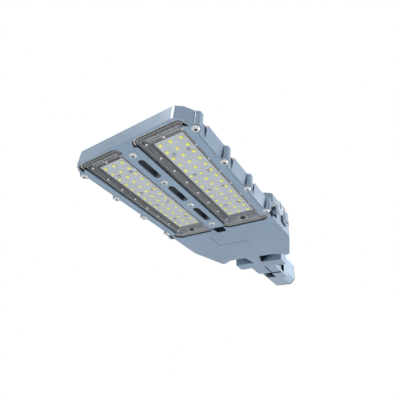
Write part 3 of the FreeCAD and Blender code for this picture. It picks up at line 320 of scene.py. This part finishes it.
def rounded_distance(tree, place, centre_y):
    """Distance outside the module's rounded plan, in millimetres, down to minus its corner."""
    middle_x = MODULE_X + (MODULE_FRONT - MODULE_REAR) / 2
    half_x = (MODULE_FRONT + MODULE_REAR) / 2 - FLANGE_CORNER
    half_y = MODULE_HALF_Y - FLANGE_CORNER
    shifted = add(tree, "ShaderNodeVectorMath", {0: place, 1: (middle_x * MM, centre_y * MM, 0)},
                  operation="SUBTRACT")
    flat = add(tree, "ShaderNodeVectorMath", {0: shifted.outputs["Vector"], 1: (1, 1, 0)},
               operation="MULTIPLY")
    size = add(tree, "ShaderNodeVectorMath", {0: flat.outputs["Vector"]}, operation="ABSOLUTE")
    over = add(tree, "ShaderNodeVectorMath", {
        0: size.outputs["Vector"], 1: (half_x * MM, half_y * MM, 0)}, operation="SUBTRACT")
    outer = add(tree, "ShaderNodeVectorMath", {0: over.outputs["Vector"], 1: (0, 0, 0)},
                operation="MAXIMUM")
    reach = add(tree, "ShaderNodeVectorMath", {0: outer.outputs["Vector"]}, operation="LENGTH")
    scaled = add(tree, "ShaderNodeMath", {
        0: reach.outputs["Value"], 1: 1 / MM, 2: -FLANGE_CORNER}, operation="MULTIPLY_ADD")
    return scaled.outputs["Value"]


def board_material(name, centre_y):
    """Solder mask: pale grey, faintly mottled, with a thin pale line inside a white border."""
    material, tree, output, place = new_material(name)
    mottled = blend_colours(tree, spread(tree, grain(tree, place, 30, 3), 0, 1),
                            linear("#CAD2D8"), linear("#D3DADF"))
    inside = box_distance(tree, place, MODULE_X, centre_y, BOARD_HALF_X, BOARD_HALF_Y)
    margin = add(tree, "ShaderNodeMapRange", {"Value": inside, "From Min": -6.0, "From Max": 0.0})
    border = add(tree, "ShaderNodeValToRGB", {"Fac": margin.outputs["Result"]}, stops=(
        (0.0, (0, 0, 0, 1)), (0.30, (0, 0, 0, 1)), (0.34, (0.55, 0.55, 0.55, 1)),
        (0.42, (0.55, 0.55, 0.55, 1)), (0.46, (0, 0, 0, 1)), (0.80, (0, 0, 0, 1)),
        (0.86, (1, 1, 1, 1)), (1.0, (1, 1, 1, 1))))
    colour = blend_colours(tree, border.outputs["Color"], mottled, linear("#E9EEEE"))
    surface = add(tree, "ShaderNodeBsdfPrincipled", {
        "Base Color": colour, "Roughness": 0.42})
    tree.links.new(surface.outputs["BSDF"], output.inputs["Surface"])
    return material


def tray_material(name, centre_y):
    """Cast tray: dull grey metal, fine steps round the board drawn as painted shade and painted
    highlight lines, a lighter painted reflection behind the board, a black seal with a cream band
    outside it, and a painted highlight line inside it.
    """
    material, tree, output, place = new_material(name)
    texture = grain(tree, place, 3, 4)
    tone = blend_colours(tree, spread(tree, texture, 0, 1), linear("#7A7B81"), linear("#67686E"))
    # The bed behind the board is painted lighter: a painted reflection in the cover over it
    along = add(tree, "ShaderNodeSeparateXYZ", {0: place}).outputs["X"]
    bed_edge = MODULE_X - BOARD_HALF_X - BED_START
    painted_bed_reflection = add(tree, "ShaderNodeMapRange", {
        "Value": along, "From Min": bed_edge * MM, "From Max": (bed_edge - 1) * MM,
        "To Min": 0.0, "To Max": 0.85})
    tone = blend_colours(tree, painted_bed_reflection.outputs["Result"], tone, linear("#B0B6C2"))
    # The fine steps are drawn in colour: dark lines are painted shade on their risers, pale lines
    # painted highlights on their edges
    outside = box_distance(tree, place, MODULE_X, centre_y, BOARD_HALF_X, BOARD_HALF_Y)
    count = add(tree, "ShaderNodeMath", {0: outside, 1: TRAY_STEP}, operation="DIVIDE")
    steps = add(tree, "ShaderNodeMath", {0: count.outputs["Value"]}, operation="FRACT")
    lines = add(tree, "ShaderNodeValToRGB", {"Fac": steps.outputs["Value"]}, stops=(
        (0.0, (0, 0, 0, 1)), (0.14, (0, 0, 0, 1)), (0.18, (1, 1, 1, 1)),
        (0.30, (1, 1, 1, 1)), (0.34, (0.5, 0.5, 0.5, 1)), (0.96, (0.5, 0.5, 0.5, 1))))
    step_shade = add(tree, "ShaderNodeMapRange", {
        "Value": lines.outputs["Color"], "From Min": 0.5, "From Max": 0.0,
        "To Min": 0.0, "To Max": 0.6})
    step_highlight = add(tree, "ShaderNodeMapRange", {
        "Value": lines.outputs["Color"], "From Min": 0.5, "From Max": 1.0,
        "To Min": 0.0, "To Max": 0.45})
    stepped = blend_colours(tree, step_shade.outputs["Result"], tone, linear("#2E2F32"))
    stepped = blend_colours(tree, step_highlight.outputs["Result"], stepped, linear("#C2C4C8"))
    edge = rounded_distance(tree, place, centre_y)
    # The innermost pale ring is a painted highlight of the cover's edge
    for start, colour in TRAY_RINGS:
        ring = add(tree, "ShaderNodeMapRange", {
            "Value": edge, "From Min": start, "From Max": start + RING_BLUR})
        stepped = blend_colours(tree, ring.outputs["Result"], stepped, linear(colour))
    surface = add(tree, "ShaderNodeBsdfPrincipled", {
        "Base Color": stepped, "Metallic": 0.35,
        "Roughness": spread(tree, texture, 0.42, 0.55)})
    tree.links.new(surface.outputs["BSDF"], output.inputs["Surface"])
    return material


def phosphor_material(name, light, dark):
    """Silicone over yellow phosphor: soft shine, a slightly uneven yellow and a faint painted light
    of its own, as the lamps are not lit.
    """
    material, tree, output, place = new_material(name)
    tone = spread(tree, grain(tree, place, 1.2), 0, 1)
    colour = blend_colours(tree, tone, linear(light), linear(dark))
    # The emission is painted light: the lamps are not lit
    surface = add(tree, "ShaderNodeBsdfPrincipled", {
        "Base Color": colour, "Roughness": 0.25, "Emission Color": colour,
        "Emission Strength": 0.3})
    tree.links.new(surface.outputs["BSDF"], output.inputs["Surface"])
    return material


def clear_material(name, body):
    """Clear polycarbonate: see-through face on, mirror-like at a glance, with painted highlights on
    its moulded edges.
    """
    material, tree, output, place = new_material(name)
    wave = add(tree, "ShaderNodeBump", {
        "Strength": 0.1, "Distance": 0.2 * MM, "Height": grain(tree, place, 18)})
    facing = add(tree, "ShaderNodeFresnel", {"IOR": 1.58, "Normal": wave.outputs["Normal"]})
    outside = add(tree, "ShaderNodeMath", {
        0: 1.0, 1: add(tree, "ShaderNodeNewGeometry").outputs["Backfacing"]}, operation="SUBTRACT")
    mirror = add(tree, "ShaderNodeMath", {
        0: facing.outputs["Fac"], 1: outside.outputs["Value"]}, operation="MULTIPLY")
    through = add(tree, "ShaderNodeBsdfTransparent", {"Color": linear("#F8F9FA")})
    shine = add(tree, "ShaderNodeBsdfGlossy", {
        "Color": linear("#FFFFFF"), "Roughness": 0.08, "Normal": wave.outputs["Normal"]})
    mixed = add(tree, "ShaderNodeMixShader", {
        0: mirror.outputs["Value"], 1: through.outputs["BSDF"], 2: shine.outputs["BSDF"]})
    # Painted highlight: the moulded edges, and the whole face by the share body, are mixed towards
    # a pale surface, so the edges show as thin pale lines
    mask, soft = edge_mask(tree, 1.3)
    rim = add(tree, "ShaderNodeMath", {0: mask, 1: outside.outputs["Value"]}, operation="MULTIPLY")
    amount = add(tree, "ShaderNodeMath", {0: rim.outputs["Value"], 1: 0.75, 2: body},
                 operation="MULTIPLY_ADD")
    painted_edge_highlight = add(tree, "ShaderNodeBsdfPrincipled", {
        "Base Color": linear("#F2F5F7"), "Roughness": 0.15, "Normal": soft})
    edged = add(tree, "ShaderNodeMixShader", {
        0: amount.outputs["Value"], 1: mixed.outputs["Shader"], 2: painted_edge_highlight.outputs["BSDF"]})
    tree.links.new(edged.outputs["Shader"], output.inputs["Surface"])
    return material


# Modelling helpers
def deselect():
    """Leave nothing selected."""
    bpy.ops.object.select_all(action="DESELECT")


def start_box(name, low, high):
    """Cube primitive between two corners, in millimetres."""
    deselect()
    centre = [(a + b) / 2 * MM for a, b in zip(low, high)]
    size = [(b - a) * MM for a, b in zip(low, high)]
    bpy.ops.mesh.primitive_cube_add(size=1, location=centre, scale=size)
    return settle(name)


def start_cylinder(name, centre, radius, length, vertices):
    """Cylinder primitive along Z, in millimetres."""
    deselect()
    bpy.ops.mesh.primitive_cylinder_add(
        vertices=vertices, radius=radius * MM, depth=length * MM,
        location=[value * MM for value in centre])
    return settle(name)


def settle(name):
    """Name the new primitive and put its origin at the frame's."""
    made = bpy.context.active_object
    made.name = name
    made.data.name = name
    bpy.ops.object.transform_apply(location=True, rotation=True, scale=True)
    return made


def select_faces(piece, test):
    """Enter edit mode and select the faces whose normal and centre pass the test."""
    bpy.context.view_layer.objects.active = piece
    if piece.mode != "EDIT":
        bpy.ops.object.mode_set(mode="EDIT")
    bpy.ops.mesh.select_mode(type="FACE")
    bpy.ops.mesh.select_all(action="DESELECT")
    mesh = bmesh.from_edit_mesh(piece.data)
    for face in mesh.faces:
        face.select = bool(test(face.normal, face.calc_center_median() / MM))
    mesh.select_flush_mode()
    bmesh.update_edit_mesh(piece.data)


def select_edges(piece, test):
    """Enter edit mode and select the edges whose direction and middle pass the test."""
    bpy.context.view_layer.objects.active = piece
    if piece.mode != "EDIT":
        bpy.ops.object.mode_set(mode="EDIT")
    bpy.ops.mesh.select_mode(type="EDGE")
    bpy.ops.mesh.select_all(action="DESELECT")
    mesh = bmesh.from_edit_mesh(piece.data)
    for edge in mesh.edges:
        first, last = (vertex.co for vertex in edge.verts)
        edge.select = bool(test((last - first).normalized(), (first + last) / 2 / MM))
    mesh.select_flush_mode()
    bmesh.update_edit_mesh(piece.data)


def inset(width, depth=0.0):
    """Inset the selected faces, in millimetres."""
    bpy.ops.mesh.inset(thickness=width * MM, depth=depth * MM)


def extrude(z):
    """Extrude the selected faces along Z, in millimetres."""
    bpy.ops.mesh.extrude_region_move(TRANSFORM_OT_translate={"value": (0, 0, z * MM)})


def bevel(width, segments):
    """Round the selected edges, in millimetres."""
    bpy.ops.mesh.bevel(offset=width * MM, segments=segments, affect="EDGES", clamp_overlap=True)


def close(piece, angle=35):
    """Leave edit mode with clean outward normals and smooth shading up to an angle."""
    if piece.mode != "EDIT":
        bpy.context.view_layer.objects.active = piece
        bpy.ops.object.mode_set(mode="EDIT")
    bpy.ops.mesh.select_all(action="SELECT")
    bpy.ops.mesh.remove_doubles(threshold=0.001 * MM)
    bpy.ops.mesh.normals_make_consistent(inside=False)
    bpy.ops.object.mode_set(mode="OBJECT")
    deselect()
    piece.select_set(True)
    bpy.context.view_layer.objects.active = piece
    bpy.ops.object.shade_smooth_by_angle(angle=math.radians(angle))
    deselect()
    return piece


def turned(piece, degrees):
    """Turn a pattern about X through the frame's origin."""
    deselect()
    piece.select_set(True)
    bpy.context.view_layer.objects.active = piece
    piece.rotation_euler.x = math.radians(degrees)
    bpy.ops.object.transform_apply(location=False, rotation=True, scale=False)
    return piece


def cut_away(piece, tool):
    """Cut one piece out of another with an applied boolean modifier."""
    deselect()
    bpy.context.view_layer.objects.active = piece
    modifier = piece.modifiers.new("cut", "BOOLEAN")
    modifier.operation = "DIFFERENCE"
    modifier.solver = "EXACT"
    modifier.object = tool
    bpy.ops.object.modifier_apply(modifier="cut")
    bpy.data.objects.remove(tool)


def copies(name, pattern, places):
    """Copy a modelled piece to each place, in millimetres, and join the copies into one."""
    deselect()
    made = []
    for place in places:
        twin = pattern.copy()
        twin.data = pattern.data.copy()
        scene.collection.objects.link(twin)
        twin.data.transform(Matrix.Translation(Vector(place) * MM))
        made.append(twin)
    bpy.data.objects.remove(pattern)
    for twin in made:
        twin.select_set(True)
    bpy.context.view_layer.objects.active = made[0]
    if len(made) > 1:
        bpy.ops.object.join()
    made[0].name = name
    made[0].data.name = name
    deselect()
    return made[0]


def dress(piece, body, materials):
    """Give a finished piece its body and its materials."""
    piece.data.materials.clear()
    for material in materials:
        piece.data.materials.append(material)
    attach(piece, body)
    return piece


def assign(piece, number, test):
    """Use another of the piece's materials on the faces that pass the test."""
    for face in piece.data.polygons:
        if test(face.normal, face.center / MM):
            face.material_index = number


# Materials
paint = coated("powder_coat", "#88A0B7", "#C6D4E2", "#8298AE", "#202B36", 0.36)
# The spigot's coat is a lighter copy of the housing's: painted light, for the brighter light on the
# spigot
spigot_paint_lit = coated("spigot_powder_coat_lit", "#96ACC2", "#D3E0EC", "#90A5BA", "#151D25", 0.36,
                      rim_mm=6.0)
# The strips' dark edge colour is a painted shade line along their edges
strip_paint = coated("strip_powder_coat", "#8AA1B8", "#33414F", "#849AB0", "#151D25", 0.38,
                     edge_mm=1.4)
# The webs' edges are seams under the coat, so they get no painted edge highlight
web_paint = coated("web_powder_coat", "#88A0B7", "#88A0B7", "#8298AE", "#151D25", 0.36,
                   edge_mm=0.05)
# The clips' coat is a darker copy of the housing's: painted shade
clip_paint_shaded = coated("clip_powder_coat_shaded", "#4F6276", "#8296A9", "#495C70", "#151D25", 0.40)
bolt_paint = coated("bolt_powder_coat", "#A6B9CB", "#DCE6F0", "#9FB2C4", "#151D25", 0.36)
plated = bare_metal("zinc_plated_steel", "#FFFFFF", "#DDE0E4", 0.25, 0.6, metallic=0.3)
stainless = bare_metal("turned_stainless", "#F1F3F5", "#C4C8CC", 0.20, 0.8, metallic=0.6)
tray_metals = {side: tray_material("cast_tray_aluminium_" + side, y)
               for side, y in MODULE_Y.items()}
driver_metal = bare_metal("drawn_driver_case", "#B5B7BA", "#9A9CA0", 0.32, 1.5, (0.1, 1, 1))
boards = {side: board_material("solder_mask_" + side, y) for side, y in MODULE_Y.items()}
package = moulded("led_package_white", "#E6E9E4", "#D9DDD8", 0.35, 0.8)
phosphor = phosphor_material("led_phosphor", "#EDE73A", "#E2DC22")
phosphor_highlight = phosphor_material("led_phosphor_highlight", "#F3F068", "#EDE84A")
clear = clear_material("clear_polycarbonate", 0.0)
# A copy with a painted highlight over its whole face
clear_highlighted = clear_material("clear_polycarbonate_highlighted", 0.3)
rubber = moulded("black_rubber", "#1B1C1E", "#242527", 0.75, 1.2)
nylon = moulded("black_nylon", "#17181A", "#202124", 0.45, 0.9)
grey_plastic = moulded("grey_plastic", "#7C8288", "#70767C", 0.5, 1.0)
# Dark colour used as painted shade in screw sockets and dimples
recess = moulded("recess_shadow", "#2A2C30", "#1F2124", 0.6, 0.6)

finishes = {
    "spigot": spigot_paint_lit, "clamp_screws": stainless, "pivot_bolt": stainless,
    "pivot_washer": stainless, "housing": paint, "driver_lid": paint, "hinge_bolts": bolt_paint,
    "strip_left": strip_paint, "strip_centre": strip_paint, "strip_right": strip_paint,
    "strip_screws_left": stainless, "strip_screws_centre": stainless,
    "strip_screws_right": stainless, "lid_clips": clip_paint_shaded, "lid_gasket": rubber,
    "led_driver": driver_metal, "surge_protector": nylon, "terminal_block": grey_plastic,
    "entry_gland": nylon,
}
for side in MODULE_Y:
    finishes["module_tray_" + side] = tray_metals[side]
    finishes["led_board_" + side] = boards[side]
    finishes["leds_" + side] = phosphor
    finishes["lens_cover_" + side] = clear
    finishes["lead_gland_" + side] = rubber
for name, material in finishes.items():
    node[name].data.materials.clear()
    node[name].data.materials.append(material)


# Fasteners
def button_screw():
    """Flanged button-head screw at the origin, head down, with a hexagon socket and a shank."""
    screw = start_cylinder("button_screw", (0, 0, -FLANGE_THICKNESS / 2), FLANGE_RADIUS,
                           FLANGE_THICKNESS, 36)
    select_faces(screw, lambda normal, middle: normal.z < -0.9)
    inset(FLANGE_RADIUS - HEAD_RADIUS)
    extrude(FLANGE_THICKNESS - HEAD_HEIGHT)
    select_edges(screw, lambda way, middle: middle.z < -HEAD_HEIGHT + 0.01)
    bevel((HEAD_HEIGHT - FLANGE_THICKNESS) * HEAD_ROUND, 5)
    select_faces(screw, lambda normal, middle: normal.z > 0.9)
    inset(FLANGE_RADIUS - SHANK_RADIUS)
    extrude(STRIP_SCREW_REACH)
    close(screw, 40)
    socket = start_cylinder("socket_tool", (0, 0, -HEAD_HEIGHT), HEX_KEY / math.sqrt(3),
                            HEAD_HEIGHT * 1.1, 6)
    cut_away(screw, socket)
    return close(screw, 40)


def in_socket(normal, middle, y):
    """Whether a face of a strip's screws is the floor of a hexagon socket."""
    half = STRIP_SCREW_PITCH / 2
    along = (middle.x - STRIP_SCREW_X[0] + half) % STRIP_SCREW_PITCH - half
    near = math.hypot(middle.y - y, along) < SOCKET_REACH
    return near and normal.z < -0.9 and middle.z > SOCKET_LEVEL


def small_screw(kind):
    """Pan-head screw or rivet at the origin, head down, with a dimple in its middle."""
    radius, height = SMALL_SCREWS[kind]
    screw = start_cylinder(kind + "_screw", (0, 0, -height / 2), radius, height, 18)
    select_edges(screw, lambda way, middle: middle.z < -height + 0.01)
    bevel(height * SMALL_HEAD_ROUND, 3)
    select_faces(screw, lambda normal, middle: normal.z < -0.9 and middle.z < -height + 0.01)
    inset(radius * DIMPLE_RIM)
    inset(radius * DIMPLE_WALL, -height * DIMPLE_DEPTH)
    return close(screw)


for row, y in STRIP_SCREW_ROWS.items():
    places = [(x, y, STRIP_FACE) for x in STRIP_SCREW_X]
    screws = copies("button_screws_" + row, button_screw(), places)
    dress(screws, "head", [stainless, recess])
    # The socket floors take the dark recess colour: painted shade
    assign(screws, 1, lambda normal, middle: in_socket(normal, middle, y))
    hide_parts("strip_screws_" + row)

for side, y in MODULE_Y.items():
    places = [(MODULE_X + along * step * LED_PITCH_X, y + across * BOARD_SCREW_Y, BOARD_FACE)
              for step in BOARD_SCREW_STEPS for along in (-1, 1) for across in (-1, 1)]
    screws = copies("board_screws_" + side, small_screw("board"), places)
    dress(screws, "head", [plated, recess])
    # Their dimples and the sides of their heads near the board take the dark recess colour:
    # painted shade in the dimples and a dark ring round each head
    assign(screws, 1, lambda normal, middle: middle.z > BOARD_SCREW_LEVEL
           and (normal.z < -0.9 or abs(normal.z) < 0.3))
    first = MODULE_X + COVER_SCREW_SHIFT - COVER_SCREW_PITCH * (COVER_SCREW_COUNT - 1) / 2
    places = [(first + COVER_SCREW_PITCH * number, y + across * COVER_SCREW_Y, COVER_FACE)
              for number in range(COVER_SCREW_COUNT) for across in (-1, 1)]
    places.append((MODULE_X + COVER_SCREW_FRONT, y, COVER_FACE))
    screws = copies("cover_screws_" + side, small_screw("cover"), places)
    dress(screws, "head", [plated])

# Four screws hold the driver down, and two rivets hold each spring clip to the lid
places = [(x, y, DRIVER_FOOT_TOP) for x in DRIVER_SCREW_X for y in DRIVER_SCREW_Y]
screws = copies("driver_screws", turned(small_screw("driver"), 180), places)
dress(screws, "head", [stainless])
for side, way in SIDES:
    places = [(x, CLIP_FACE * way, CLIP_RIVET_LEVEL) for x in CLIP_RIVET_X]
    rivets = copies("clip_rivets_" + side, turned(small_screw("rivet"), 90 * way), places)
    dress(rivets, "lid", [stainless])


# Lamps
def lamp():
    """One LED at the origin: square package with a round dome."""
    half = LED_SIZE / 2
    face = -LED_HEIGHT / 2
    chip = start_box("lamp", (-half, -half, face), (half, half, 0))
    select_edges(chip, lambda way, middle: abs(way.z) > 0.9)
    bevel(LED_CORNER, 2)
    close(chip)
    dome = start_cylinder("dome", (0, 0, face - DOME_HEIGHT / 2), half * DOME_FILL, DOME_HEIGHT, 20)
    select_edges(dome, lambda way, middle: middle.z < face - DOME_HEIGHT + 0.1)
    bevel(DOME_ROUND, 3)
    close(dome, 60)
    for piece in (chip, dome):
        for material in (package, phosphor, phosphor_highlight):
            piece.data.materials.append(material)
    assign(dome, 1, lambda normal, middle: True)
    # The dome's flat face takes the lighter yellow: a painted highlight
    assign(dome, 2, lambda normal, middle: normal.z < -0.9)
    deselect()
    dome.select_set(True)
    chip.select_set(True)
    bpy.context.view_layer.objects.active = chip
    bpy.ops.object.join()
    return chip


for side, y in MODULE_Y.items():
    first_x = MODULE_X - LED_PITCH_X * (LED_COLUMNS - 1) / 2
    first_y = y - LED_PITCH_Y * (LED_ROWS - 1) / 2
    places = [(first_x + LED_PITCH_X * column, first_y + LED_PITCH_Y * row, BOARD_FACE)
              for column in range(LED_COLUMNS) for row in range(LED_ROWS)]
    lamps = copies("lamps_" + side, lamp(), places)
    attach(lamps, "head")
    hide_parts("leds_" + side)


# Corner webs
def corner_web(side, way):
    """Web of the casting that closes a module's seat at the nose corner, mirrored on the right."""
    web = start_box("corner_web_" + side, WEB_LOW, WEB_HIGH)
    select_faces(web, lambda normal, middle: True)
    bpy.ops.mesh.bisect(plane_co=[value * MM for value in WEB_CUT_PLACE], plane_no=WEB_CUT_WAY,
                        use_fill=True, clear_outer=True)
    close(web)
    seat = start_cylinder("seat_tool", WEB_SEAT_CENTRE, WEB_SEAT_RADIUS, 20, 64)
    cut_away(web, seat)
    skin = start_box("web_skin", (0, -WEB_SKIN_REACH, WEB_LOW[2]),
                     (WEB_SKIN, WEB_SKIN_REACH, WEB_SKIN_TOP))
    skin.location = [value * MM for value in WEB_SKIN_PLACE]
    skin.rotation_euler.z = math.atan2(WEB_CUT_WAY[1], WEB_CUT_WAY[0])
    deselect()
    skin.select_set(True)
    web.select_set(True)
    bpy.context.view_layer.objects.active = web
    bpy.ops.object.join()
    web.scale.y = way
    bpy.ops.object.transform_apply(location=False, rotation=False, scale=True)
    return close(web)


for side, way in SIDES:
    dress(corner_web(side, way), "head", [web_paint])


# Clear covers
def clear_cover(side, y):
    """Moulded cover: flange with rounded corners round a shallow dish with sloping walls."""
    cover = start_box("clear_cover_" + side,
                      (MODULE_X - MODULE_REAR, y - MODULE_HALF_Y, FLANGE_FACE),
                      (MODULE_X + MODULE_FRONT, y + MODULE_HALF_Y, FLANGE_BACK))
    select_edges(cover, lambda way, middle: abs(way.z) > 0.9)
    bevel(FLANGE_CORNER, 8)
    select_faces(cover, lambda normal, middle: normal.z > 0.9)
    inset(FLANGE_WIDTH - COVER_WALL)
    inset(SLOPE_INSIDE, COVER_BACK - FLANGE_BACK)
    select_faces(cover, lambda normal, middle: normal.z < -0.9)
    inset(FLANGE_WIDTH)
    inset(SLOPE_OUTSIDE, FLANGE_FACE - COVER_FACE)
    close(cover, 30)
    cover.data.materials.append(clear)
    cover.data.materials.append(clear_highlighted)
    # The dish's walls take the highlighted copy: a painted highlight
    assign(cover, 1, lambda normal, middle: abs(normal.z) < 0.5)
    return cover


def clear_rib(low, high, round_off):
    """Low moulded block on the cover's face, with rounded edges."""
    rib = start_box("clear_rib", low, high)
    select_edges(rib, lambda way, middle: True)
    bevel(round_off, 2)
    close(rib)
    rib.data.materials.append(clear)
    rib.data.materials.append(clear_highlighted)
    # The ribs and the tab are highlighted all over: a painted highlight
    assign(rib, 1, lambda normal, middle: True)
    return rib


for side, y in MODULE_Y.items():
    cover = clear_cover(side, y)
    ribs = [clear_rib((MODULE_X + RIB_X[0], y + start, COVER_FACE - RIB_HEIGHT),
                      (MODULE_X + RIB_X[1], y + stop, COVER_FACE + RIB_ROOT), RIB_ROUND)
            for start, stop in ((-RIB_Y[1], -RIB_Y[0]), RIB_Y)]
    ribs.append(clear_rib((MODULE_X + TAB_X[0], y - TAB_HALF_Y, COVER_FACE - TAB_HEIGHT),
                          (MODULE_X + TAB_X[1], y + TAB_HALF_Y, COVER_FACE + RIB_ROOT),
                          TAB_ROUND))
    deselect()
    for rib in ribs:
        rib.select_set(True)
    cover.select_set(True)
    bpy.context.view_layer.objects.active = cover
    bpy.ops.object.join()
    dress(cover, "head", [clear, clear_highlighted])
    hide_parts("lens_cover_" + side)


# Studio
def white_where_seen(tree, colour, strength):
    """Background that looks plain white and lights with a colour and strength of its own."""
    path = add(tree, "ShaderNodeLightPath")
    first = add(tree, "ShaderNodeMath", {
        0: path.outputs["Is Camera Ray"], 1: path.outputs["Is Glossy Ray"]}, operation="MAXIMUM")
    seen = add(tree, "ShaderNodeMath", {
        0: first.outputs["Value"], 1: path.outputs["Is Transmission Ray"]}, operation="MAXIMUM")
    lighting = add(tree, "ShaderNodeBackground", {"Color": colour, "Strength": strength})
    white = add(tree, "ShaderNodeBackground", {"Color": (1, 1, 1, 1), "Strength": 1.0})
    return add(tree, "ShaderNodeMixShader", {
        0: seen.outputs["Value"], 1: lighting.outputs["Background"],
        2: white.outputs["Background"]})


world = bpy.data.worlds.new("studio")
scene.world = world
world.use_nodes = True
world.node_tree.nodes.clear()
backdrop = white_where_seen(world.node_tree, linear("#FFFFFF"), 0.55)
end = add(world.node_tree, "ShaderNodeOutputWorld")
world.node_tree.links.new(backdrop.outputs["Shader"], end.inputs["Surface"])

deselect()
bpy.ops.mesh.primitive_plane_add(size=8, location=(0.3, 0, FLOOR_LEVEL))
floor = bpy.context.active_object
floor.name = "floor"
floor_paint, floor_tree, floor_output, floor_place = new_material("pale_floor")
mottle = spread(floor_tree, grain(floor_tree, floor_place, 200), 0, 1)
floor_tone = blend_colours(floor_tree, mottle, linear("#F2F2F2"), linear("#F5F5F5"))
floor_surface = add(floor_tree, "ShaderNodeBsdfDiffuse", {"Color": floor_tone})
floor_tree.links.new(floor_surface.outputs["BSDF"], floor_output.inputs["Surface"])
floor.data.materials.append(floor_paint)


def soft_light(name, place, target, size, power, mirrored):
    """Square area light aimed at a target, in metres, shown in reflections or not."""
    lamp_data = bpy.data.lights.new(name, "AREA")
    lamp_data.size = size
    lamp_data.energy = power
    light = bpy.data.objects.new(name, lamp_data)
    scene.collection.objects.link(light)
    aim = Vector(place) - Vector(target)
    light.location = place
    light.rotation_euler = aim.to_track_quat("Z", "Y").to_euler()
    light.visible_glossy = mirrored
    return light


soft_light("side", (-0.6, 1.7, 0.1), MIDDLE, 1.2, 10, True)
soft_light("spigot", (-0.45, 0.75, 0.1), SPIGOT, 0.5, 6, True)
soft_light("nose", (1.82, -0.37, 1.39), NOSE, 0.45, 7, True)
shine = soft_light("nose_shine", (1.82, -0.37, 1.39), NOSE, 0.25, 25, True)
shine.visible_diffuse = False
soft_light("below", (0.9, 0.1, -0.95), MIDDLE, 1.4, 4, False)
soft_light("top", (0.3, -0.6, 1.8), MIDDLE, 1.6, 16, True)

# Camera, placed where the photograph was taken from
camera_data = bpy.data.cameras.new("camera")
camera_data.sensor_width = 36
camera_data.lens = 28.5615
camera_data.shift_x = 0.05
camera_data.clip_start = 0.01
camera = bpy.data.objects.new("camera", camera_data)
scene.collection.objects.link(camera)
right = Vector((-0.57715954, 0.8100739, 0.1032818))
up = Vector((0.48836405, 0.24101743, 0.83869611))
back = Vector((0.65451311, 0.53450058, -0.53471648))
place = Vector((0.892041, 0.305748, -0.347959))
camera.matrix_world = Matrix.Translation(place) @ Matrix((right, up, back)).transposed().to_4x4()
scene.camera = camera

scene.view_settings.view_transform = "Standard"
